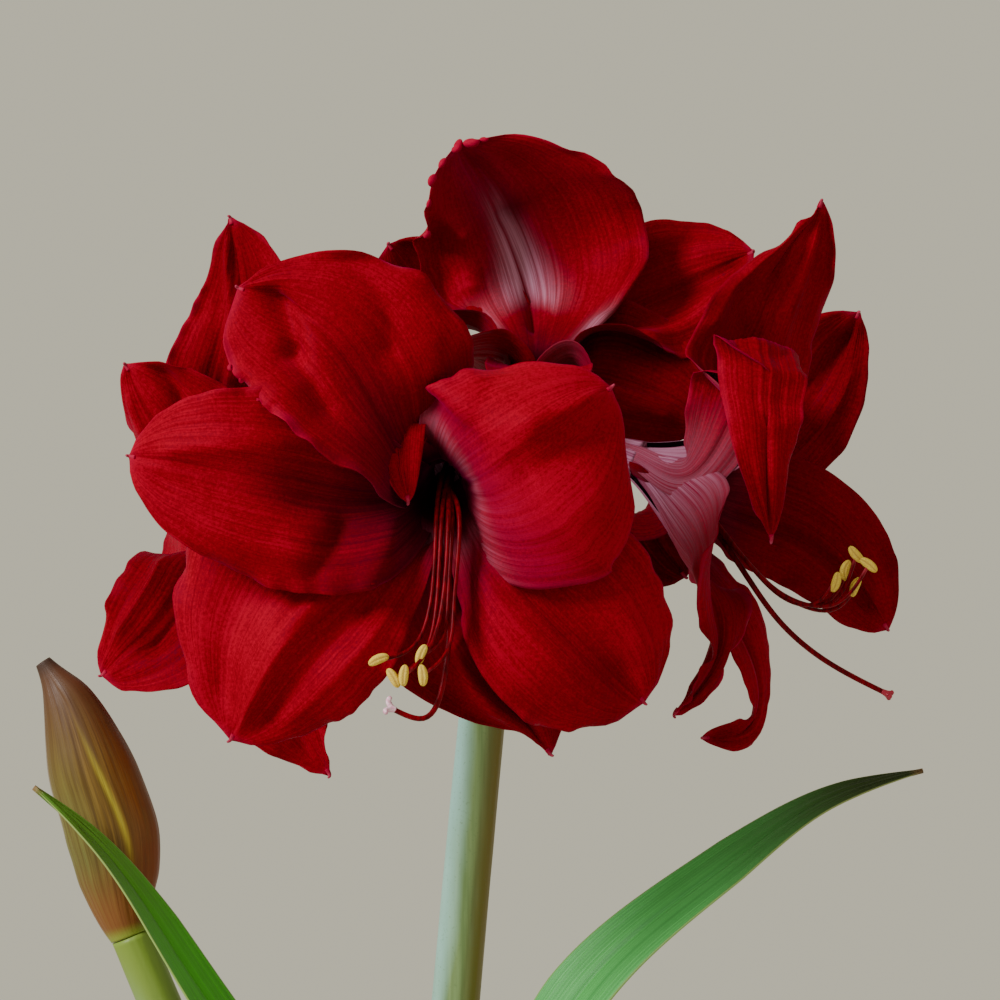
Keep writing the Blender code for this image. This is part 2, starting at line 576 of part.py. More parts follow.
def blade(name, grid, thickness, collection=None):
    """A closed blade from a grid of middle points, split into triangles alike on both faces."""
    rows, columns = grid.shape[0] - 1, grid.shape[1] - 1
    points = grid.reshape(-1, 3)
    faces = []
    for i in range(rows):
        for k in range(columns):
            a = i * (columns + 1) + k
            b, c, d = a + 1, a + columns + 2, a + columns + 1
            faces += [(a, b, c), (a, c, d)] if k * 2 < columns else [(a, b, d), (b, c, d)]
    made = mesh_object(name, points, faces, collection)
    shell = made.modifiers.new("thickness", "SOLIDIFY")
    shell.thickness = thickness * MM
    shell.offset = 0.0
    bake_modifiers(made)
    face_outwards(made)
    return made


def sweep(name, curve, run, radius_at, sides, rows, collection=None):
    """A closed round rod along a sampled curve, with the radius as a function of the share."""
    u = np.linspace(0.0, 1.0, rows + 1)
    place, direction = along(curve, run, u)
    side = np.array([0.0, 1.0, 0.0]) if abs(direction[0][1]) < 0.9 else np.array([1.0, 0.0, 0.0])
    points, faces = [], []
    for i in range(rows + 1):
        side = unit(side - direction[i] * np.dot(side, direction[i]))
        other = np.cross(direction[i], side)
        radius = radius_at(u[i])
        wide, deep = radius if isinstance(radius, tuple) else (radius, radius)
        for k in range(sides):
            angle = 2.0 * math.pi * k / sides
            points.append(place[i] + side * deep * math.cos(angle) + other * wide * math.sin(angle))
    for i in range(rows):
        for k in range(sides):
            a, b = i * sides + k, i * sides + (k + 1) % sides
            faces.append((a, b, b + sides, a + sides))
    faces.append(tuple(range(sides))[::-1])
    faces.append(tuple(rows * sides + k for k in range(sides)))
    made = mesh_object(name, points, faces, collection)
    face_outwards(made)
    return made


def turned(name, profile, sides, collection=None):
    """A closed solid turned from an outline of radius and height that starts and ends on the axis."""
    mesh = bmesh.new()
    verts = [mesh.verts.new((r * MM, 0.0, z * MM)) for r, z in profile]
    edges = [mesh.edges.new((a, b)) for a, b in zip(verts, verts[1:])]
    bmesh.ops.spin(mesh, geom=verts + edges, cent=(0, 0, 0), axis=(0, 0, 1), angle=2 * math.pi,
                   steps=sides, use_merge=True, use_duplicate=False)
    bmesh.ops.remove_doubles(mesh, verts=mesh.verts, dist=EPSILON)
    bmesh.ops.recalc_face_normals(mesh, faces=mesh.faces)
    data = bpy.data.meshes.new(name)
    mesh.to_mesh(data)
    mesh.free()
    made = bpy.data.objects.new(name, data)
    (collection or bpy.context.scene.collection).objects.link(made)
    return made


def fill_sealed_hollows(thing):
    """Keeps only the outer skin of a fused solid: the shell with the most faces."""
    mesh = bmesh.new()
    mesh.from_mesh(thing.data)
    waiting = set(mesh.faces)
    shells = []
    while waiting:
        shell, reached = set(), [waiting.pop()]
        while reached:
            face = reached.pop()
            shell.add(face)
            for edge in face.edges:
                if len(edge.link_faces) == 2:
                    for other in edge.link_faces:
                        if other in waiting:
                            waiting.discard(other)
                            reached.append(other)
        shells.append(shell)
    shells.sort(key=len)
    extra = [face for shell in shells[:-1] for face in shell]
    bmesh.ops.delete(mesh, geom=extra, context="FACES")
    loose = [vertex for vertex in mesh.verts if not vertex.link_faces]
    bmesh.ops.delete(mesh, geom=loose, context="VERTS")
    mesh.to_mesh(thing.data)
    mesh.free()


def combine(thing, collection, operation, solver="EXACT"):
    """Joins the collection's objects with the thing, or cuts them out of it, and removes them."""
    step = thing.modifiers.new("combine", "BOOLEAN")
    step.operation = operation
    step.operand_type = "COLLECTION"
    step.collection = collection
    step.solver = solver
    bake_modifiers(thing)
    drop_collection(collection)


def new_collection(name):
    made = bpy.data.collections.new(name)
    bpy.context.scene.collection.children.link(made)
    return made


def drop_collection(collection):
    for thing in list(collection.objects):
        bpy.data.objects.remove(thing, do_unlink=True)
    bpy.data.collections.remove(collection)


def finish(thing, finish_material):
    thing.data.materials.clear()
    thing.data.materials.append(finish_material)
    thing.data.shade_smooth()
    thing.data.set_sharp_from_angle(angle=math.radians(SHARP_ANGLE))


# Blooms as solids
def thread(name, points, radius_at, sides, rows, collection):
    """A thin rod through the points, in a collection."""
    curve, run, _ = spline(points)
    return sweep(name, curve, run, radius_at, sides, rows, collection)


def stepped(values):
    """A radius rule that takes the values in turn at even shares of the length."""
    return lambda u: values[round(u * (len(values) - 1))]


def add_stamens(name, bloom, parts):
    axis, up, right = bloom_frame(bloom.axis)
    throat = np.asarray(bloom.throat, float)
    for k, route in enumerate(bloom.filaments):
        angle = 2.0 * math.pi * k / STAMENS_IN_A_RING
        offset = (up * math.cos(angle) + right * math.sin(angle)) * FILAMENT_RING
        points = [throat - axis * THREAD_ROOT + offset, throat + axis * THREAD_RISE + offset]
        points += [throat + np.asarray(p, float) for p in route]
        thread(f"{name}_filament_{k}", points, lambda u: FILAMENT_RADIUS, 3, 7, parts)
        half = unit((ANTHER_LEANS[k % 3], 0.1, 0.9)) * ANTHER_LENGTH * 0.5
        ends = [points[-1] - half, points[-1] + half]
        thread(f"{name}_anther_{k}", ends, stepped(np.multiply(ANTHER_SWELL, ANTHER_RADIUS)), 4, 3, parts)


def add_style(name, bloom, parts):
    axis = unit(bloom.axis)
    throat = np.asarray(bloom.throat, float)
    points = [throat - axis * THREAD_ROOT, throat + axis * THREAD_RISE]
    points += [throat + np.asarray(p, float) for p in bloom.style]
    thread(name + "_style", points, lambda u: STYLE_RADIUS, 3, 9, parts)
    ends = [points[-1], points[-1] + unit(points[-1] - points[-2]) * STIGMA_LENGTH]
    low, high = STIGMA_RADIUS
    thread(name + "_stigma", ends, lambda u: low + (high - low) * u, 6, 2, parts)


def build_bloom(name, bloom, finish_material):
    throat = np.asarray(bloom.throat, float)
    curve, run, _ = spline([throat - unit(bloom.axis) * TUBE_LENGTH, throat])
    low, high = TUBE_RADIUS
    tube = sweep(name, curve, run, lambda u: low + (high - low) * u, TUBE_SIDES, 2)
    parts = new_collection(name + "_parts")
    for key, tepal in bloom.tepals.items():
        grid = tepal_points(bloom, tepal, TEPAL_ROWS, TEPAL_COLUMNS)
        blade(name + "_" + key, grid, TEPAL_THICKNESS, parts)
    add_stamens(name, bloom, parts)
    add_style(name, bloom, parts)
    combine(tube, parts, "UNION", "MANIFOLD")
    fill_sealed_hollows(tube)
    finish(tube, finish_material)


# Stalks, bud and leaves
def build_main_stalk(blooms, finish_material):
    curve, run, _ = spline(MAIN_ROUTE)
    low, high = MAIN_RADIUS
    stalk = sweep("scape_main", curve, run, lambda u: low + (high - low) * u, STALK_SIDES, STALK_ROWS)
    parts = new_collection("umbel_parts")
    umbel = np.asarray(MAIN_ROUTE[-1])
    for name, bloom in blooms.items():
        axis = unit(bloom.axis)
        base = np.asarray(bloom.throat, float) - axis * (TUBE_LENGTH + GAP)
        ovary = base - axis * OVARY_LENGTH
        points = [umbel - (0, 0, PEDICEL_ROOT), umbel + (0, 0, OVERSHOOT), bloom.pedicel, ovary]
        thread(name + "_pedicel", points, lambda u: PEDICEL_RADIUS, 6, 5, parts)
        swell = stepped(np.multiply(OVARY_SWELL, OVARY_RADIUS))
        thread(name + "_ovary", [ovary - axis * OVARY_SINK, base], swell, 7, 4, parts)
    combine(stalk, parts, "UNION", "MANIFOLD")
    finish(stalk, finish_material)


def build_second_stalk(finish_material):
    route = np.array(SECOND_ROUTE)
    route[-1] -= unit(route[-1] - route[-2]) * GAP
    curve, run, _ = spline(route)
    low, high = SECOND_RADIUS
    stalk = sweep("scape_second", curve, run, lambda u: low + (high - low) * u, STALK_SIDES, STALK_ROWS)
    finish(stalk, finish_material)


def build_bud(finish_material):
    lead = np.subtract(SECOND_ROUTE[-1], SECOND_ROUTE[-2])
    curve, run, _ = spline(BUD_ROUTE, lead=lead)

    def radius(u):
        wide = float(np.interp(u, BUD_SHARES, BUD_HALF_WIDTHS))
        return wide, wide * (1.0 - (1.0 - BUD_FLATNESS) * float(ease(0.0, 0.2, u)))

    bud = sweep("bud", curve, run, radius, STALK_SIDES, BUD_ROWS)
    finish(bud, finish_material)


def leaf_grid(route, faces, rows, columns=4):
    """Middle surface of a strap leaf, folded a little along its middle."""
    curve, run, shares = spline(route)
    u = np.linspace(0.0, 1.0, rows + 1)
    place, direction = along(curve, run, u)
    normal = facing(u, shares, [unit(f) for f in faces], direction)
    across = np.cross(direction, normal)
    width = np.interp(u, LEAF_SHARES, LEAF_HALF_WIDTHS)
    fold = math.radians(LEAF_FOLD) * ease(0.1, 0.3, u)
    grid = np.zeros((rows + 1, columns + 1, 3))
    for k, s in enumerate(np.linspace(-1.0, 1.0, columns + 1)):
        sideways = across * (s * width * np.cos(fold))[:, None]
        grid[:, k] = place + sideways + normal * (abs(s) * width * np.sin(fold))[:, None]
    return grid


def build_leaf(name, route, faces, finish_material):
    leaf = blade(name, leaf_grid(route, faces, LEAF_ROWS), LEAF_THICKNESS)
    finish(leaf, finish_material)


# Bulb, soil and pot
def leaf_slot(name, route, faces, collection):
    """The foot of a leaf, larger by the gap on every side."""
    grid = leaf_grid(route, faces, LEAF_ROWS)[:SLOT_ROWS]
    grid[0] -= unit(grid[1] - grid[0]) * GAP
    middle = grid.mean(axis=1, keepdims=True)
    wider = grid + unit(grid - middle + (0.0, 0.0, EPSILON)) * GAP * SLOT_SPREAD
    wider[:, 2] = grid[:, 2]
    blade(name, wider, LEAF_THICKNESS + 2.0 * GAP, collection)


def stalk_socket(name, route, radius, collection):
    """The foot of a stalk, larger by the gap on every side."""
    curve, run, _ = spline(route)
    middle, top = curve[SOCKET_SAMPLES[0]], curve[SOCKET_SAMPLES[1]]
    foot = curve[0] - unit(middle - curve[0]) * GAP
    thread(name, [foot, middle, top], lambda u: radius + GAP, STALK_SIDES, 3, collection)


def build_bulb(finish_material):
    profile = [(0.0, BULB_FOOT), *BULB_LOWER, *BULB_UPPER, (0.0, NECK_TOP)]
    bulb = turned("bulb", profile, ROUND_SIDES)
    sockets = new_collection("sockets")
    stalk_socket("main_socket", MAIN_ROUTE, MAIN_RADIUS[0], sockets)
    stalk_socket("second_socket", SECOND_ROUTE, SECOND_RADIUS[0], sockets)
    leaf_slot("left_slot", LEFT_LEAF_ROUTE, LEFT_LEAF_FACES, sockets)
    leaf_slot("right_slot", RIGHT_LEAF_ROUTE, RIGHT_LEAF_FACES, sockets)
    combine(bulb, sockets, "DIFFERENCE")
    finish(bulb, finish_material)


def inside_radius(height):
    """Inner radius of the pot at a height."""
    slope = (POT_TOP_RADIUS - POT_FOOT_RADIUS) / POT_HEIGHT
    return POT_FOOT_RADIUS - POT_WALL + slope * height


def build_soil(finish_material):
    low = inside_radius(POT_FLOOR) - GAP
    high = inside_radius(SOIL_TOP) - GAP
    crown = SOIL_TOP + SOIL_CROWN
    profile = [(0.0, POT_FLOOR + GAP), (low, POT_FLOOR + GAP), (high, SOIL_TOP),
               (high * SOIL_SHOULDER, SOIL_TOP + 0.5 * SOIL_CROWN), (BULB_RADIUS + SOIL_CROWN, crown),
               (0.0, crown)]
    soil = turned("soil", profile, ROUND_SIDES)
    bed_outline = [(0.0, BULB_FOOT - GAP)]
    bed_outline += [(radius + GAP, height - GAP) for radius, height in BULB_LOWER]
    bed_outline += [(radius + GAP, height) for radius, height in BULB_LOWER[-1:]]
    bed_outline += [(BULB_RADIUS, crown + OVERSHOOT + SOIL_CROWN), (0.0, crown + OVERSHOOT + SOIL_CROWN)]
    bed = new_collection("bed")
    turned("bulb_bed", bed_outline, ROUND_SIDES, bed)
    combine(soil, bed, "DIFFERENCE")
    finish(soil, finish_material)


def build_pot(finish_material):
    slope = (POT_TOP_RADIUS - POT_FOOT_RADIUS) / POT_HEIGHT
    collar = POT_HEIGHT - POT_COLLAR_HEIGHT
    under_collar = POT_FOOT_RADIUS + slope * collar
    rim_outside = POT_TOP_RADIUS + POT_COLLAR_STEP
    rim_inside = POT_TOP_RADIUS - POT_WALL
    profile = [(0.0, 0.0), (POT_FOOT_RADIUS - POT_EDGE, 0.0), (POT_FOOT_RADIUS, POT_EDGE),
               (under_collar, collar), (under_collar + POT_COLLAR_STEP, collar + POT_EDGE),
               (rim_outside, POT_HEIGHT - POT_EDGE), (rim_outside - POT_EDGE, POT_HEIGHT),
               (rim_inside + POT_EDGE, POT_HEIGHT), (rim_inside, POT_HEIGHT - POT_EDGE),
               (inside_radius(POT_FLOOR), POT_FLOOR), (0.0, POT_FLOOR)]
    pot = turned("pot", profile, ROUND_SIDES)
    holes = new_collection("drain_holes")
    for k in range(DRAIN_HOLES):
        angle = 2.0 * math.pi * (k + 0.5) / DRAIN_HOLES
        centre = np.array([math.cos(angle), math.sin(angle), 0.0]) * DRAIN_RING_RADIUS
        ends = [centre - (0, 0, OVERSHOOT), centre + (0, 0, POT_FLOOR + OVERSHOOT)]
        thread(f"hole_{k}", ends, lambda u: DRAIN_HOLE_RADIUS, STALK_SIDES, 1, holes)
    combine(pot, holes, "DIFFERENCE")
    finish(pot, finish_material)


def main():
    clear_scene()
    blooms = {
        "bloom_front": front_bloom(),
        "bloom_right": right_bloom(),
        "bloom_top": top_bloom(),
        "bloom_left": left_bloom(),
    }
    red = material("petal red", (0.42, 0.004, 0.012), 0.55)
    green = material("stalk green", (0.25, 0.38, 0.2), 0.4)
    leaf_green = material("leaf green", (0.05, 0.22, 0.03), 0.4)
    for name, bloom in blooms.items():
        build_bloom(name, bloom, red)
    build_main_stalk(blooms, green)
    build_second_stalk(green)
    build_bud(material("bud brown", (0.16, 0.08, 0.025), 0.45))
    build_leaf("leaf_left", LEFT_LEAF_ROUTE, LEFT_LEAF_FACES, leaf_green)
    build_leaf("leaf_right", RIGHT_LEAF_ROUTE, RIGHT_LEAF_FACES, leaf_green)
    build_bulb(material("bulb tunic", (0.3, 0.16, 0.07), 0.7))
    build_soil(material("soil", (0.035, 0.022, 0.014), 0.95))
    build_pot(material("fired clay", (0.5, 0.2, 0.1), 0.8))


if __name__ == "__main__":
    main()
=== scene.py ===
# Looks of the potted amaryllis: petals, stamens, stalks, bud, leaves, bulb, soil and pot.
# Sizes are in millimetres and are turned into metres where a mesh is made.
# Colours are linear.

import math
from dataclasses import dataclass

import bpy
import numpy as np
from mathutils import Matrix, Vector


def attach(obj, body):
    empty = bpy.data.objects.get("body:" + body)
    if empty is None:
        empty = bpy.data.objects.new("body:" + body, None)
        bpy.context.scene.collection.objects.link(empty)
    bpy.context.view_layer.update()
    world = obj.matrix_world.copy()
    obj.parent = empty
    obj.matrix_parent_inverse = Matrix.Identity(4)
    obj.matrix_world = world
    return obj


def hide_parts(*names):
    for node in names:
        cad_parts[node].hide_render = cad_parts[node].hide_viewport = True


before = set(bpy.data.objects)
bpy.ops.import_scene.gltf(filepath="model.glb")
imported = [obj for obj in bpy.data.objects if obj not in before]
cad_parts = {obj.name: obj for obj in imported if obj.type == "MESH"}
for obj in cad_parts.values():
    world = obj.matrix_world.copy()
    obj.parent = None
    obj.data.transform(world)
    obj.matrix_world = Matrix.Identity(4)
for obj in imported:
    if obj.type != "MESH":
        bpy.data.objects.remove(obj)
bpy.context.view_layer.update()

MM = 0.001
GAP = 0.3

# Pot
POT_HEIGHT = 140.0
POT_TOP_RADIUS = 78.0
POT_FOOT_RADIUS = 54.0
POT_WALL = 6.0
POT_FLOOR = 9.0
POT_COLLAR_HEIGHT = 30.0
POT_COLLAR_STEP = 3.5
DRAIN_HOLES = 4
DRAIN_HOLE_RADIUS = 5.0
DRAIN_RING_RADIUS = 28.0
POT_EDGE = 1.5
POT_SLOPE = (POT_TOP_RADIUS - POT_FOOT_RADIUS) / POT_HEIGHT
EDGE_ROUNDING = 0.6
THROWING_MARKS = 0.10
DRILL_OVERSHOOT = 2.0
ROUND_SIDES = 160

# Soil
SOIL_TOP = 127.0
SOIL_CROWN = 4.0
SOIL_SHOULDER = 0.85
SOIL_LUMPS = ((1.1, 7.0), (0.9, 3.0), (0.5, 1.4))
SOIL_CRUMBS = 1500
CRUMBS_FROM = 47.0
CRUMB_SIZES = (0.7, 1.5)
CRUMB_STRETCH = (0.6, 1.3)
CRUMB_BUMPS = (0.7, 1.2)
BARK_SHARE = 0.12

# Bulb
BULB_FOOT = 78.0
NECK_TOP = 185.0
NECK_RADIUS = 27.5
BULB_RADIUS = 50.0
BULB_LOWER = ((12.0, BULB_FOOT), (30.0, 84.0), (44.0, 97.0), (BULB_RADIUS, 117.0), (48.0, 135.0))
BULB_UPPER = ((41.0, 151.0), (32.5, 164.0), (28.0, 175.0), (NECK_RADIUS, NECK_TOP))
SOCKET_DEPTH = 22.0
BULB_FIBRES = 0.28
BULB_LOBES = 0.9
FLAKES = 9
FLAKE_HALF_TURNS = (0.28, 0.5)
FLAKE_FEET = (128.0, 140.0)
FLAKE_HEIGHTS = (22.0, 38.0)
FLAKE_GAP = 0.9
FLAKE_CURL = 2.2
FLAKE_THICKNESS = 0.35
SHEATH_THICKNESS = 0.4
SHEATH_FOOT = 170.0
SHEATHS = ((NECK_RADIUS - 0.6, 191.0), (NECK_RADIUS - 3.0, 188.5))

# Stalks
SEAT = NECK_TOP - SOCKET_DEPTH + GAP
MAIN_ROUTE = ((3.8, 6.8, SEAT), (11.0, 6.0, 270.0), (20.6, 5.0, 392.0), (35.0, 4.0, 545.0))
MAIN_RADIUS = (9.8, 8.4)
SECOND_ROUTE = ((-12.5, -5.5, SEAT), (-48.0, -3.0, 290.0), (-85.0, 0.0, 382.0), (-99.6, 0.0, 416.5))
SECOND_RADIUS = (8.6, 7.6)
PEDICEL_RADIUS = 4.0
PEDICEL_ROOT = 6.0
OVARY_LENGTH = 15.0
OVARY_RADIUS = 6.0
OVARY_SWELL = (0.62, 0.9, 1.0, 0.95, 0.78)
OVARY_SINK = 3.0
OVARY_RIDGE = 0.05
STALK_SWELL = 0.012

# Bud
BUD_ROUTE = ((-99.6, 0.0, 416.5), (-106.7, 0.0, 452.4), (-114.4, 1.0, 477.2), (-123.3, 2.0, 502.4),
             (-132.6, 3.0, 517.6))
BUD_SHARES = (0.0, 0.08, 0.2, 0.35, 0.6, 0.8, 0.92, 1.0)
BUD_HALF_WIDTHS = (7.8, 10.5, 14.8, 17.2, 16.4, 11.4, 6.6, 1.2)
BUD_FLATNESS = 0.8
BUD_SMOOTHING = np.linspace(-0.1, 0.1, 9)
SEAM_TURN = math.pi + 0.62
SEAM_TWIST = 0.75
LAP_HEIGHT = 0.7

# Tepals: the petal-like blades, each with a narrow claw in the tube
TUBE_LENGTH = 13.0
TUBE_RADIUS = (4.8, 7.8)
INNER_RING = 4.9
OUTER_RING = 7.3
ROOT_INSET = 1.4
ROOT_DEPTH = 7.0
HUG_LIMIT = 1.2
CLAW_HALF_WIDTH = 4.2
TIP_HALF_WIDTH = 0.8
TAPERING = 2.3
STRAP_POWER = 9.0
RUFFLES = 2.1
RUFFLE_LAG = 1.9
RUFFLE_POWER = 2.2
TEPAL_ROWS = 84
TEPAL_COLUMNS = 56
ARC_STEPS = 25
SWEEP_LENGTH = 0.15
SWEEP_FADE = 0.75
FOLD_SCALE = (35.0, 130.0)
FOLD_POWER = 1.5
FOLD_FADE = 0.88
FOLD_DEPTH = 1.25
STRAP_START = 0.3
RUFFLE_SHARES = (0.3, 0.55, 0.93)
OPENING = (0.7, 0.2)
UPRIGHT = 0.8
MOUTH_LEAN = 0.15
NOTCH_DEPTH = 0.018
NOTCH_LENGTH = 7.0
NOTCH_START = (0.4, 0.6)
KNOT_POWER = 0.8
TUBE_RIDGE = 0.25

# Thickness and relief of the tepals
THIN_BLADE = 0.34
CLAW_STOUT = 0.55
MIDRIB_STOUT = 0.35
MARGIN_THINNING = 0.16
# Height, waves across, shift and waves along
BUCKLES = ((1.2, 2.2, 5.0, 3.6), (0.5, 5.0, 0.0, 7.0))
# Height, wave length, shift, row of the random values and power towards the margin
FRILLS = ((1.0, 8.5, 3.0, 10.0, 7), (0.6, 4.5, 0.0, 20.0, 12))
FRILL_DEPTH = 1.9
RIBS = 19.0
RIB_HEIGHT = 0.16
RIB_WANDER = 1.5
# Height, distance from the middle and width of the midrib's groove and of the ridge beside it
MIDRIB = ((-0.55, 0.0, 1.1), (0.2, 2.6, 1.2))
MIDRIB_START = (0.1, 0.3)
CREASE_BEND = 0.02
CREASE_WANDER = 0.008
CREASE_WIDTH = 3.0
BODY_SHARES = (0.12, 0.4, 0.94)
NUB_RADIUS = 0.95
NUB_ROUTE = ((-2.5, 0.0), (-0.3, 0.0), (0.5, 0.5), (0.6, 1.4))
KNOB_RADIUS = 0.75
KNOB_REACH = 1.1
KNOB_RISE = 0.4
KNOB_SINK = 0.6

# Paint of the tepals, as shares of their length past the tube's mouth and widths in millimetres
RAGGED = 0.03
THROAT_END = 0.1
LILAC_END = 0.2
# Painted shade: darkens the inner face from the tube's mouth outwards, reaching further along the midrib
SHADE_START = -0.05
SHADE_REACH = 0.75
SHADE_MIDRIB_REACH = 0.5
SHADE_RAGGED = 0.12
GLOW_WIDTH = 9.0
# Pale streak and purple band near the throat: part the petal's own pale and purple marking, part painted
# sheen
STREAK_START = 0.17
STREAK_LAG = 0.09
STREAK_EASE = 0.12
STREAK_WIDTHS = (3.5, 6.5)
STREAK_NARROWS = (0.75, 0.35)
STREAK_PARTING = 0.9
STREAK_FADE = (0.5, 0.86)
ARC = (0.06, 0.04)
PLUM_AND_SHEEN = (0.12, 0.12)
# Pink margins: part the paler pink of curled margins, part a painted highlight along lit margins
EDGE_START = 0.86
EDGE_WANDER = 0.06
EDGE_BROKEN = (0.75, 0.6)
TIP_START = 0.965
TIP_PINK = 0.35

# Stamens and style
FILAMENT_RADIUS = 1.0
FILAMENT_RING = 2.6
STAMENS_IN_A_RING = 6
THREAD_ROOT = 4.0
THREAD_RISE = 6.0
ANTHER_LENGTH = 7.5
ANTHER_RADIUS = 1.7
STYLE_RADIUS = 1.2
STYLE_TAPER = 0.2
FILAMENT_TAPER = 0.35
STIGMA_ROUTE = ((-0.8, 0.0), (1.2, 0.8), (2.4, 2.6), (1.8, 4.0))

# Leaves
LEAF_THICKNESS = 2.6
LEFT_LEAF_ROUTE = ((-0.6, -15.5, SEAT), (-5.0, -19.0, 235.0), (-30.0, -28.0, 330.0), (-70.5, -28.0, 395.4),
                   (-107.3, -28.0, 449.3), (-132.8, -28.0, 473.0))
LEFT_LEAF_FACES = ((1.0, 0.0, 0.0), (1.0, -0.1, 0.0), (0.85, -0.35, 0.35), (0.75, -0.45, 0.5),
                   (0.7, -0.45, 0.7), (0.6, -0.45, 0.8))
RIGHT_LEAF_ROUTE = ((20.0, 1.0, SEAT), (24.0, 0.0, 235.0), (40.0, -3.0, 325.0), (65.2, -6.0, 392.4),
                    (120.4, -12.0, 442.4), (157.4, -12.0, 467.0), (192.6, -12.0, 478.0))
RIGHT_LEAF_FACES = ((-1.0, 0.0, 0.0), (-1.0, -0.1, 0.0), (-0.75, -0.6, 0.3), (-0.55, -0.7, 0.5),
                    (-0.45, -0.65, 0.65), (-0.3, -0.65, 0.8), (-0.2, -0.65, 0.9))
LEAF_SHARES = (0.0, 0.12, 0.35, 0.6, 0.8, 0.93, 1.0)
LEAF_HALF_WIDTHS = (9.5, 12.0, 16.5, 16.0, 11.5, 5.5, 1.0)
LEAF_FOLD = 9.0
LEAF_RIBS = 15.0
LEAF_RIB_HEIGHT = 0.10
LEAF_SWAY = 0.5
LEAF_GROOVE = 0.5
LEAF_ROWS = 150
LEAF_COLUMNS = 40

# Sides and rows of the round pieces, and rows and columns of the dry skins
TUBE_MESH = (48, 12)
NUB_MESH = (10, 10)
KNOB_MESH = (16, 14)
FILAMENT_MESH = (14, 60)
STYLE_MESH = (16, 80)
ANTHER_MESH = (24, 20)
LOBE_MESH = (12, 16)
OVARY_MESH = (36, 24)
BUD_MESH = (120, 160)
DRILL_MESH = (32, 1)
FLAKE_MESH = (24, 20)
SHEATH_MESH = (16, 150)
STALK_SIDES = 72
PEDICEL_SIDES = 28
MAIN_ROWS = 220
SECOND_ROWS = 140
PEDICEL_ROWS = 40
BULB_SIDES = 240
SOIL_SIDES = 300

# Camera, light and floor
CAMERA_PLACE = (0.037, -1.8, 0.5776)
CAMERA_LENS = 174.96
BACKDROP = (0.59, 0.56, 0.44)
# Name, place, aim, size and power
LIGHTS = (("key", (-1.55, -1.05, 1.65), (0.0, 0.0, 0.58), 0.7, 67.0),
          ("fill", (1.6, -1.2, 0.9), (0.0, 0.0, 0.55), 1.4, 3.0))
FLOOR_RADIUS = 1500.0
FLOOR_SINK = 0.2
FLOOR_SIDES = 96


@dataclass
class Tepal:
    """One petal-like blade, with its points in millimetres from the bloom's throat."""

    turn: float
    belly: tuple
    tip: tuple
    face: tuple
    half: tuple
    tip_face: tuple = None
    bend: tuple = None
    cup: tuple = (0.0, 0.0)
    roll: tuple = (0.0, 0.0)
    wave: float = 2.0
    phase: float = 0.0
    widest: tuple = (0.55, 0.55)
    growth: tuple = (2.0, 2.0)
    blunt: tuple = (0.62, 0.62)
    sweep: tuple = (0.0, 0.0)
    folds: tuple = ()
    tail: float = 0.0
    funnel: float = 26.0
    flare: float = 0.3
    inner: bool = False
    # Paint and small relief
    # Pale streak and purple band: part own marking, part painted sheen
    streak: float = 0.0
    band: float = 0.06
    # How far painted shade reaches from the throat
    deep: float = 0.28
    lilac: float = 1.0
    blush: float = 0.0
    # Scales the dark throat, its own dark red partly deepened with painted shade
    gloom: float = 1.0
    # Pink margins on each side, partly a painted highlight
    pink: tuple = (0.12, 0.12)
    frill: float = 1.0
    # Painted light above zero and painted shade below zero, over the whole tepal
    tone: float = 0.0
    creases: tuple = ()
    patches: tuple = ()
    knobs: tuple = ()


@dataclass
class Bloom:
    """A bloom: its throat in the plant's frame, the way it faces, its tepals and its stamens."""

    throat: tuple
    axis: tuple
    pedicel: tuple
    tepals: dict
    filaments: list
    style: list


# Curves and blades
def unit(vector):
    vector = np.asarray(vector, float)
    return vector / np.linalg.norm(vector, axis=-1, keepdims=True)


def ease(low, high, value):
    t = np.clip((np.asarray(value, float) - low) / (high - low), 0.0, 1.0)
    return t * t * (3.0 - 2.0 * t)


def between(value, start, full, fade, end):
    """Rises from 0 to 1 between the first two marks and falls back between the last two."""
    return ease(start, full, value) * (1.0 - ease(fade, end, value))


def bell(value, centre, width):
    return np.exp(-(((value - centre) / width) ** 2))


def spans(rows, columns):
    """Shares along a grid's rows, from 0 to 1, and across its columns, from -1 to 1."""
    return np.linspace(0.0, 1.0, rows + 1)[:, None], np.linspace(-1.0, 1.0, columns + 1)[None, :]


def spline(points, lead=None, samples=160):
    """A smooth curve through the points as dense samples, and each point's share of its length."""
    points = np.asarray(points, float)
    steps = np.linalg.norm(np.diff(points, axis=0), axis=1) ** KNOT_POWER
    knots = np.concatenate([[0.0], np.cumsum(steps)])
    count = len(points)
    system = np.zeros((count, count))
    right = np.zeros((count, 3))
    if lead is None:
        system[0, 0] = 1.0
    else:
        system[0, 0] = 2.0 * steps[0]
        system[0, 1] = steps[0]
        slope = (points[1] - points[0]) / steps[0]
        right[0] = 6.0 * (slope - unit(lead) * np.linalg.norm(slope))
    system[-1, -1] = 1.0
    for i in range(1, count - 1):
        system[i, i - 1] = steps[i - 1]
        system[i, i] = 2.0 * (steps[i - 1] + steps[i])
        system[i, i + 1] = steps[i]
        after = (points[i + 1] - points[i]) / steps[i]
        before = (points[i] - points[i - 1]) / steps[i - 1]
        right[i] = 6.0 * (after - before)
    second = np.linalg.solve(system, right)
    t = np.linspace(0.0, knots[-1], samples)
    i = np.clip(np.searchsorted(knots, t, side="right") - 1, 0, count - 2)
    h = steps[i][:, None]
    a = (knots[i + 1] - t)[:, None] / h
    b = 1.0 - a
    curve = a * points[i] + b * points[i + 1]
    curve += ((a**3 - a) * second[i] + (b**3 - b) * second[i + 1]) * h * h / 6.0
    run = np.concatenate([[0.0], np.cumsum(np.linalg.norm(np.diff(curve, axis=0), axis=1))])
    shares = np.interp(knots, t, run / run[-1])
    return curve, run / run[-1], shares


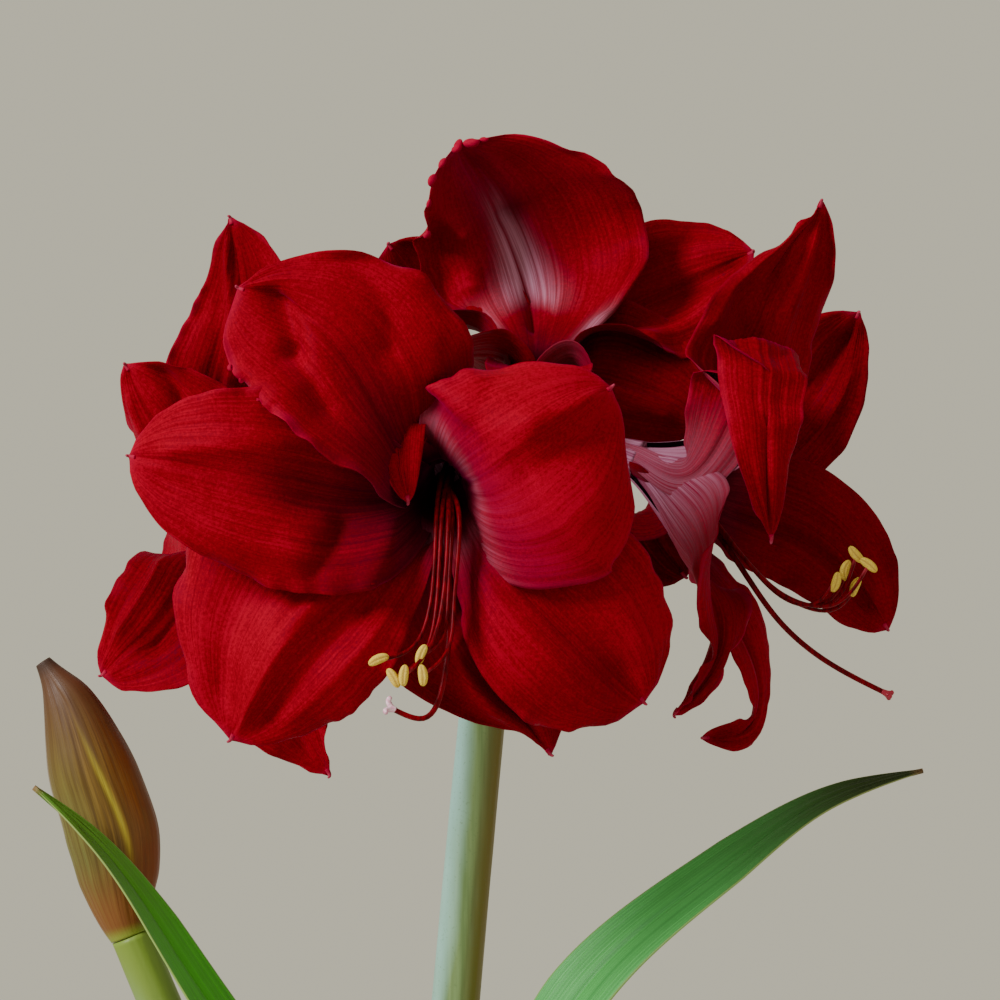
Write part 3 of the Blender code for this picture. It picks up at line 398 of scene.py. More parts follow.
def along(curve, shares, u):
    """Points and directions of a sampled curve at the shares u of its length."""
    place = np.stack([np.interp(u, shares, curve[:, k]) for k in range(3)], axis=1)
    step = 0.01
    ahead = np.stack([np.interp(np.minimum(u + step, 1), shares, curve[:, k]) for k in range(3)], axis=1)
    behind = np.stack([np.interp(np.maximum(u - step, 0), shares, curve[:, k]) for k in range(3)], axis=1)
    return place, unit(ahead - behind)


def facing(u, key_shares, key_normals, direction):
    """Unit normals eased between the key normals and squared to the curve's direction."""
    normals = np.zeros((len(u), 3))
    for i in range(len(key_shares) - 1):
        low, high = key_shares[i], key_shares[i + 1]
        inside = (u >= low) & (u <= high)
        t = ease(low, high, u[inside])[:, None]
        normals[inside] = (1.0 - t) * key_normals[i] + t * key_normals[i + 1]
    normals -= direction * np.sum(normals * direction, axis=1, keepdims=True)
    return unit(normals)


def bloom_frame(axis):
    """The bloom's axis, its upward side and its right side as the viewer of its face sees it."""
    axis = unit(axis)
    up = np.array([0.0, 0.0, 1.0])
    if abs(axis[2]) > UPRIGHT:
        up = np.array([0.0, 1.0, 0.0])
    up = unit(up - axis * np.dot(up, axis))
    return axis, up, np.cross(up, axis)


def half_width(tepal, side, u):
    """Half width of the blade at the share u: narrow claw, broad belly and a pointed tip."""
    broad = tepal.half[side]
    widest = tepal.widest[side]
    grown = np.sin(0.5 * math.pi * np.clip(u / widest, 0.0, 1.0)) ** tepal.growth[side]
    beyond = np.clip((u - widest) / (1.0 - widest), 0.0, 1.0)
    closing = np.clip(1.0 - beyond**TAPERING, 0.0, 1.0) ** tepal.blunt[side]
    width = (CLAW_HALF_WIDTH + (broad - CLAW_HALF_WIDTH) * grown) * closing
    strap = tepal.tail * ease(0.0, STRAP_START, u) * np.sqrt(1.0 - u**STRAP_POWER)
    return np.maximum(np.maximum(width, strap), TIP_HALF_WIDTH)


def tepal_midrib(bloom, tepal):
    """Points and inner-face directions of the blade's middle line, from the tube to the tip."""
    axis, up, right = bloom_frame(bloom.axis)
    throat = np.asarray(bloom.throat, float)
    angle = math.radians(tepal.turn)
    radial = up * math.cos(angle) + right * math.sin(angle)
    ring = INNER_RING if tepal.inner else OUTER_RING
    root = throat - axis * ROOT_DEPTH + radial * (ring - ROOT_INSET)
    mouth = throat + axis * tepal.funnel + radial * (ring + tepal.flare * tepal.funnel)
    points = [root, throat + radial * ring, mouth, throat + np.asarray(tepal.belly, float)]
    normals = [-radial, -radial, -radial + MOUTH_LEAN * axis, unit(tepal.face)]
    tip_face = unit(tepal.tip_face or tepal.face)
    if tepal.bend is not None:
        points.append(throat + np.asarray(tepal.bend, float))
        normals.append(tip_face)
    points.append(throat + np.asarray(tepal.tip, float))
    normals.append(tip_face)
    return points, normals, axis, ring


def summed(values):
    """Running mean of the values along each row, which starts at zero."""
    start = np.zeros((len(values), 1))
    return np.concatenate([start, np.cumsum(values, axis=1)], axis=1) / values.shape[1]


def fold_height(tepal, share, u):
    """Height of the blade's folds: ridges or, below zero, valleys along lines over the blade."""
    height = np.zeros(np.broadcast(share, u).shape)
    for start_share, start_run, end_share, end_run, width, rise in tepal.folds:
        start = np.multiply((start_share, start_run), FOLD_SCALE)
        line = np.multiply((end_share, end_run), FOLD_SCALE) - start
        x = share * FOLD_SCALE[0] - start[0]
        y = u * FOLD_SCALE[1] - start[1]
        t = np.clip((x * line[0] + y * line[1]) / np.dot(line, line), 0.0, 1.0)
        distance = np.hypot(x - t * line[0], y - t * line[1])
        height = height + rise * np.exp(-((distance / width) ** FOLD_POWER))
    return height * (1.0 - ease(FOLD_FADE, 1.0, u))


def lattice(seed, x, y):
    """Smooth random values from -1 to 1 over the plane, with a cell of size 1."""
    size = 64
    table = np.random.default_rng(seed).uniform(-1.0, 1.0, (size, size))
    x, y = np.broadcast_arrays(np.asarray(x, float), np.asarray(y, float))
    i, k = np.floor(x).astype(int), np.floor(y).astype(int)
    fx, fy = x - i, y - k
    fx, fy = fx * fx * (3.0 - 2.0 * fx), fy * fy * (3.0 - 2.0 * fy)
    left, right, near, far = i % size, (i + 1) % size, k % size, (k + 1) % size
    low = table[left, near] * (1 - fx) + table[right, near] * fx
    high = table[left, far] * (1 - fx) + table[right, far] * fx
    return low * (1 - fy) + high * fy


def surface_normals(grid):
    """Unit normals of a grid of points, on its inner-face side."""
    down = np.gradient(grid, axis=0)
    sideways = np.gradient(grid, axis=1)
    return unit(np.cross(sideways, down) + 1e-12)


def tepal_grid(bloom, tepal, seed):
    """Grid of the blade's middle surface with its ribs, folds and frills, and its paint values."""
    points, normals, axis, ring_radius = tepal_midrib(bloom, tepal)
    curve, run, shares = spline(points, lead=axis)
    length = np.sum(np.linalg.norm(np.diff(curve, axis=0), axis=1))
    mouth_share = shares[2]
    u = np.linspace(0.0, 1.0, TEPAL_ROWS + 1)
    place, direction = along(curve, run, u)
    normal = facing(u, shares, normals, direction)
    across = np.cross(direction, normal)
    opened = ease(mouth_share * OPENING[0], mouth_share + OPENING[1], u)[:, None]
    ring = ring_radius + tepal.flare * tepal.funnel * np.clip(u / mouth_share, 0.0, 1.0)
    ruffled = between(u, *RUFFLE_SHARES, 1.0)
    heading = unit(points[3] - points[2])
    swept = between(u, mouth_share, mouth_share + SWEEP_LENGTH, SWEEP_FADE, 1.0)
    steps = np.linspace(0.0, 1.0, ARC_STEPS)
    columns = np.linspace(-1.0, 1.0, TEPAL_COLUMNS + 1)
    grid = np.zeros((TEPAL_ROWS + 1, TEPAL_COLUMNS + 1, 3))
    away = np.zeros(grid.shape[:2])
    for side, hand in ((0, -1.0), (1, 1.0)):
        width = half_width(tepal, side, u)
        notches = lattice(seed + side, u * length / NOTCH_LENGTH, 0.0) * ease(*NOTCH_START, u)
        width = width * (1.0 + NOTCH_DEPTH * notches)
        hug = np.minimum(width / ring, HUG_LIMIT)[:, None] * steps
        lean = math.radians(tepal.cup[side]) + math.radians(tepal.roll[side]) * steps**2
        slope = (1.0 - opened) * hug + opened * lean
        slope = 0.5 * (slope[:, 1:] + slope[:, :-1])
        out = summed(np.cos(slope))
        rise = summed(np.sin(slope))
        ruffle = tepal.wave * np.sin(2.0 * math.pi * RUFFLES * u + tepal.phase + RUFFLE_LAG * side)
        for k, share in enumerate(columns):
            if share * hand < 0.0:
                continue
            t = abs(share)
            reach = np.array([np.interp(t, steps, row) for row in out]) * width * hand
            lift = np.array([np.interp(t, steps, row) for row in rise]) * width
            lift += t**RUFFLE_POWER * ruffled * ruffle
            lift += opened[:, 0] * FOLD_DEPTH * fold_height(tepal, share, u)
            back = tepal.sweep[side] * t**2 * swept
            grid[:, k] = place + across * reach[:, None] + normal * lift[:, None] - np.outer(back, heading)
            away[:, k] = t * width
    run, share = u[:, None], columns[None, :]
    paint = paint_tepal(tepal, run, share, away, mouth_share, seed)
    grid += surface_normals(grid) * relief(tepal, run, share, away, length, seed)[..., None]
    return grid, paint


def relief(tepal, u, share, away, length, seed):
    """Height of ribs, midrib groove, buckles and frills over the middle surface, in millimetres."""
    t = np.abs(share)
    buckles = 0.0
    for k, (height, wide, shift, tall) in enumerate(BUCKLES):
        buckles = buckles + height * lattice(seed + 3 + k, share * wide + shift, u * tall)
    frill = 0.0
    for k, (height, reach, shift, row, power) in enumerate(FRILLS):
        waves = lattice(seed + 5 + k, u * length / reach + shift, np.sign(share) * 3.0 + row)
        frill = frill + height * waves * t**power
    wander = RIB_WANDER * lattice(seed + 7, share * 3.0, u * 4.0)
    ribs = RIB_HEIGHT * np.cos(math.pi * RIBS * share + wander)
    midrib = 0.0
    for height, centre, width in MIDRIB:
        midrib = midrib + height * bell(away, centre, width)
    for run, height in tepal.creases:
        bent = u + CREASE_BEND * share**2 + CREASE_WANDER * lattice(seed + 11, share * 3.0, run * 50.0)
        midrib = midrib + height * bell((bent - run) * length, 0.0, CREASE_WIDTH) * (1.0 - 0.5 * t**4)
    body = between(u, *BODY_SHARES, 1.0)
    height = buckles + FRILL_DEPTH * tepal.frill * frill + ribs * (1.0 - t**6)
    return body * height + midrib * ease(*MIDRIB_START, u)


def paint_tepal(tepal, u, share, away, mouth_share, seed):
    """Paint values over the blade: dark throat deepened with painted shade, painted shade from the mouth,
    pale streaks and purple band with painted sheen, pink margins with painted highlights, per-tepal painted
    light and shade, and pale tip.
    """
    t = np.abs(share)
    beyond = u - mouth_share
    pink_side = np.where(share > 0.0, tepal.pink[1], tepal.pink[0])
    ragged = lattice(seed + 8, share * 16.0, u * 2.0)
    # The throat's own dark red, deepened to near black with painted shade
    throat = 1.0 - ease(mouth_share * 0.7, mouth_share + THROAT_END + RAGGED * ragged, u)
    # Painted shade from the mouth outwards, reaching further along the midrib
    reach = tepal.deep * (SHADE_REACH + SHADE_MIDRIB_REACH * bell(away, 0.0, GLOW_WIDTH) + SHADE_RAGGED * ragged)
    deep = 1.0 - ease(mouth_share + SHADE_START, mouth_share + reach, u)
    # Pale streak, pale arc and purple band: part the petal's own marking, part painted sheen
    start = mouth_share + STREAK_START + STREAK_LAG * np.clip(1.0 - away / GLOW_WIDTH, 0.0, 1.0)
    spread = STREAK_WIDTHS[0] + STREAK_WIDTHS[1] * ease(*STREAK_NARROWS, u)
    streak = bell(away, 0.0, spread) * ease(start, start + STREAK_EASE + RAGGED * ragged, u)
    parting = 1.0 - STREAK_PARTING * bell(away, 0.0, 1.0)
    streak = tepal.streak * streak * (1.0 - ease(*STREAK_FADE, u)) * parting
    arc = bell(beyond, *ARC) * tepal.band * (0.8 + 0.2 * ragged)
    plum_and_sheen = bell(beyond, *PLUM_AND_SHEEN) * tepal.band
    plum_and_sheen = plum_and_sheen + 0.5 * tepal.streak * ease(0.3, 0.5, u) * bell(away, 0.0, 15.0)
    # Pink margins, part curled paler margin and part painted highlight, and the pale pink tip
    outer = t + EDGE_WANDER * lattice(seed + 9, u * 14.0, 0.0)
    broken = EDGE_BROKEN[0] + EDGE_BROKEN[1] * lattice(seed + 10, u * 9.0, share * 2.0)
    edge = pink_side * ease(EDGE_START, 1.0, outer) * ease(0.25, 0.4, u) * np.clip(broken, 0.0, 1.0)
    tip = ease(TIP_START, 1.0, u) * TIP_PINK
    lilac = tepal.lilac * (1.0 - ease(mouth_share * 0.3, mouth_share + LILAC_END, u + RAGGED * ragged))
    lilac = lilac * np.clip(1.0 + tepal.blush * (share - 0.3), 0.2, 1.0)
    # Patches: pale spots above zero, dark spots of painted shade below zero
    patch = np.zeros_like(away)
    for at_share, at_run, wide, tall, amount in tepal.patches:
        patch = patch + amount * np.exp(-(((share - at_share) / wide) ** 2) - ((u - at_run) / tall) ** 2)
    paint = {
        "dark": np.clip(tepal.gloom * throat - np.minimum(patch, 0.0), 0.0, 1.0),
        "deep": deep,
        "lilac": lilac,
        "pale": np.clip(streak + 0.3 * arc + np.maximum(patch, 0.0), 0.0, 1.0),
        "plum": np.clip(plum_and_sheen, 0.0, 1.0),
        "pink": np.clip(edge + tip, 0.0, 1.0),
        "tone": tepal.tone,
    }
    return {name: value + np.zeros_like(away) for name, value in paint.items()}


# Meshes
def blade_place(across, run, seed):
    """Place on a blade, for its noises: across it, along it and a number of its own."""
    return np.stack([across, run, np.full_like(run, seed)], axis=-1)


def plain_object(name, points, faces):
    """An object in the scene's own collection, from points in millimetres."""
    mesh = bpy.data.meshes.new(name)
    mesh.from_pydata(points * MM, [], faces)
    mesh.update()
    made = bpy.data.objects.new(name, mesh)
    bpy.context.scene.collection.objects.link(made)
    return made


class Skin:
    """Collects points, faces and painted values, and makes one object of them."""

    def __init__(self):
        self.points = []
        self.faces = []
        self.values = {}
        self.count = 0

    def add(self, points, faces, **values):
        points = np.asarray(points, float).reshape(-1, 3)
        self.points.append(points)
        self.faces += [tuple(index + self.count for index in face) for face in faces]
        for name, value in values.items():
            value = np.asarray(value, float)
            width = value.shape[-1] if value.ndim > 1 and value.shape[-1] == 3 else 1
            value = np.broadcast_to(value.reshape(-1, width) if value.ndim else value, (len(points), width))
            self.values.setdefault(name, []).append((self.count, value))
        self.count += len(points)

    def object(self, name, node, material, slot, smooth=True):
        made = plain_object(name, np.concatenate(self.points), self.faces)
        mesh = made.data
        for key, parts in self.values.items():
            width = parts[0][1].shape[1]
            data = np.zeros((self.count, width))
            for start, value in parts:
                data[start:start + len(value)] = value
            kind = "FLOAT_VECTOR" if width == 3 else "FLOAT"
            layer = mesh.attributes.new(key, kind, "POINT")
            layer.data.foreach_set("vector" if width == 3 else "value", data.astype(np.float32).ravel())
        mesh.materials.append(material)
        if smooth:
            mesh.shade_smooth()
        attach(made, "root")
        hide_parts(node)
        return made


def grid_faces(rows, columns, start=0, flip=False):
    """Quads over a grid of points that is numbered row by row."""
    faces = []
    for i in range(rows):
        for k in range(columns):
            a = start + i * (columns + 1) + k
            face = (a, a + 1, a + columns + 2, a + columns + 1)
            faces.append(face[::-1] if flip else face)
    return faces


def add_blade(skin, grid, thickness, seed, **values):
    """A closed blade: inner face, outer face and the margins between them."""
    rows, columns = grid.shape[0] - 1, grid.shape[1] - 1
    half = surface_normals(grid) * (thickness * 0.5)[..., None]
    front = grid + half
    back = grid - half
    count = (rows + 1) * (columns + 1)
    border = list(range(columns + 1))
    border += [i * (columns + 1) + columns for i in range(1, rows + 1)]
    border += [rows * (columns + 1) + k for k in range(columns - 1, -1, -1)]
    border += [i * (columns + 1) for i in range(rows - 1, 0, -1)]
    faces = grid_faces(rows, columns) + grid_faces(rows, columns, start=count, flip=True)
    for a, b in zip(border, border[1:] + border[:1]):
        faces.append((a, a + count, b + count, b))
    run, share = np.broadcast_arrays(*spans(rows, columns))
    blade = blade_place(share, run, seed * 0.37).reshape(-1, 3)
    both = {name: np.tile(np.asarray(value, float).ravel(), 2) for name, value in values.items()}
    outside = np.repeat([0.0, 1.0], count)
    skin.add(np.concatenate([front.reshape(-1, 3), back.reshape(-1, 3)]), faces,
             blade=np.tile(blade, (2, 1)), outside=outside, **both)


def rod(points, radius_at, sides, rows, start_side=(0.0, 1.0, 0.0), lead=None):
    """Points, faces, shares and angles of a closed rod through the points."""
    curve, run, _ = spline(points, lead=lead)
    u = np.linspace(0.0, 1.0, rows + 1)
    place, direction = along(curve, run, u)
    side = np.array(start_side)
    if abs(np.dot(direction[0], side)) > 0.9:
        side = np.array([1.0, 0.0, 0.0])
    rings = []
    turn = 2.0 * math.pi * np.arange(sides) / sides
    for i in range(rows + 1):
        side = unit(side - direction[i] * np.dot(side, direction[i]))
        other = np.cross(direction[i], side)
        radius = radius_at(u[i], turn)
        wide, deep = radius if isinstance(radius, tuple) else (radius, radius)
        wide, deep = np.broadcast_to(wide, sides), np.broadcast_to(deep, sides)
        rings.append(place[i] + np.outer(deep * np.cos(turn), side) + np.outer(wide * np.sin(turn), other))
    faces = []
    for i in range(rows):
        for k in range(sides):
            a, b = i * sides + k, i * sides + (k + 1) % sides
            faces.append((a, a + sides, b + sides, b))
    faces.append(tuple(range(sides)))
    faces.append(tuple(rows * sides + k for k in range(sides))[::-1])
    points = np.concatenate(rings)
    return points, faces, np.repeat(u, sides), np.tile(turn, rows + 1)


def turned(profile, sides, bulge=None):
    """Points, faces, shares and angles of a closed solid turned round the Z axis."""
    profile = np.asarray(profile, float)
    turn = 2.0 * math.pi * np.arange(sides) / sides
    radius = profile[:, 0][:, None] + np.zeros(sides)
    height = profile[:, 1][:, None] + np.zeros(sides)
    if bulge is not None:
        radius, height = bulge(radius, height, turn[None, :] + np.zeros((len(profile), 1)))
    points = np.stack([radius * np.cos(turn), radius * np.sin(turn), height], axis=-1)
    faces = []
    for i in range(len(profile) - 1):
        for k in range(sides):
            a, b = i * sides + k, i * sides + (k + 1) % sides
            faces.append((a, b, b + sides, a + sides))
    faces.append(tuple(range(sides))[::-1])
    faces.append(tuple((len(profile) - 1) * sides + k for k in range(sides)))
    return points.reshape(-1, 3), faces, height.ravel(), np.tile(turn, len(profile))


def rounded(profile, step, rounds=2):
    """An outline with its corners cut round and its straights split into short steps."""
    line = np.asarray(profile, float)
    for _ in range(rounds):
        cut = [line[0]]
        for a, b in zip(line, line[1:]):
            cut += [0.75 * a + 0.25 * b, 0.25 * a + 0.75 * b]
        line = np.array(cut + [line[-1]])
    dense = [line[0]]
    for a, b in zip(line, line[1:]):
        pieces = max(1, int(np.linalg.norm(b - a) / step))
        dense += [a + (b - a) * (k + 1) / pieces for k in range(pieces)]
    return np.array(dense)


# Materials
class Shader:
    """A Principled material made of noises, painted values and layers of colour."""

    def __init__(self, name, specular, signals):
        self.material = bpy.data.materials.new(name)
        self.material.use_nodes = True
        self.tree = self.material.node_tree
        self.surface = self.tree.nodes["Principled BSDF"]
        self.set("Specular IOR Level", specular)
        self.signals = {}
        for key, (source, *values) in signals.items():
            self.signals[key] = self.total(values) if source == "sum" else self.noise(source, *values)

    def fill(self, socket, value):
        """Links a socket, or sets it; colours come without their alpha."""
        if isinstance(value, bpy.types.NodeSocket):
            self.tree.links.new(value, socket)
        elif socket.type == "RGBA":
            socket.default_value = (*value, 1.0)
        else:
            socket.default_value = value

    def set(self, socket, value):
        self.fill(self.surface.inputs[socket], value)

    def node(self, kind, inputs, output=0, **settings):
        made = self.tree.nodes.new(kind)
        for key, value in settings.items():
            setattr(made, key, value)
        for key, value in inputs.items():
            self.fill(made.inputs[key], value)
        return made.outputs[output]

    def painted(self, name, output):
        return self.node("ShaderNodeAttribute", {}, output, attribute_name=name)

    def noise(self, source, stretch, detail=3.0, roughness=0.55):
        """Noise over the object's place or a blade's own grid, with one scale or one for each axis."""
        if source == "place":
            vector = self.node("ShaderNodeTexCoord", {}, "Object")
        else:
            vector = self.painted(source, "Vector")
        if isinstance(stretch, tuple):
            vector = self.node("ShaderNodeVectorMath", {0: vector, 1: stretch}, operation="MULTIPLY")
            stretch = 1.0
        inputs = {"Vector": vector, "Scale": stretch, "Detail": detail, "Roughness": roughness}
        return self.node("ShaderNodeTexNoise", inputs, "Fac")

    def joined(self, operation, parts):
        value = self.signal(parts[0])
        for part in parts[1:]:
            value = self.node("ShaderNodeMath", {0: value, 1: self.signal(part)}, operation=operation)
        return value

    def total(self, parts):
        return self.joined("ADD", parts)

    def signal(self, source):
        """A number, a noise or painted value by name, a spread of one (tuple) or a product (list)."""
        if isinstance(source, list):
            return self.joined("MULTIPLY", source)
        if isinstance(source, tuple):
            inputs = (self.signal(source[0]), *source[1:], 0.0, 1.0)[:5]
            return self.node("ShaderNodeMapRange", dict(enumerate(inputs)))
        if not isinstance(source, str):
            return source
        if source not in self.signals:
            self.signals[source] = self.painted(source, "Fac")
        return self.signals[source]

    def mix(self, share, below, above):
        return self.node("ShaderNodeMix", {0: self.signal(share), 6: below, 7: above}, 2, data_type="RGBA")

    def bump(self, parts, strength, distance_mm):
        inputs = {"Height": self.total(parts), "Strength": strength, "Distance": distance_mm * MM}
        self.set("Normal", self.node("ShaderNodeBump", inputs))


def layered(name, specular, roughness, signals, base, layers=(), bump=None, extras=()):
    """A material: a mix of two colours, then layers of colour, each where its own signal is high."""
    shader = Shader(name, specular, signals)
    colour = shader.mix(*base)
    for share, over in layers:
        if isinstance(over, list):
            over = shader.mix(*over)
        colour = shader.mix(share, colour, over)
    shader.set("Base Color", colour)
    shader.set("Roughness", shader.signal(roughness))
    for socket, value in extras:
        shader.set(socket, value)
    if bump is not None:
        shader.bump(*bump)
    return shader.material


RED_DEEP = (0.070, 0.0001, 0.0014)
RED_FULL = (0.25, 0.0001, 0.0075)
RED_BRIGHT = (0.36, 0.0001, 0.018)
# The throat's dark red, deepened with painted shade
THROAT = (0.008, 0.0001, 0.0012)
# Painted shade towards the throat
SHADE = (0.030, 0.0002, 0.0042)
# Purple band and pale streaks: part own colour, part painted sheen
PLUM = (0.16, 0.006, 0.040)
PALE = (0.60, 0.31, 0.44)
# Pink of margins and tips, partly a painted highlight
MAGENTA = (0.40, 0.008, 0.050)
LILAC = (0.44, 0.20, 0.31)
MAROON = (0.16, 0.010, 0.050)
INSIDE = ("outside", 0.0, 1.0, 1.0, 0.0)

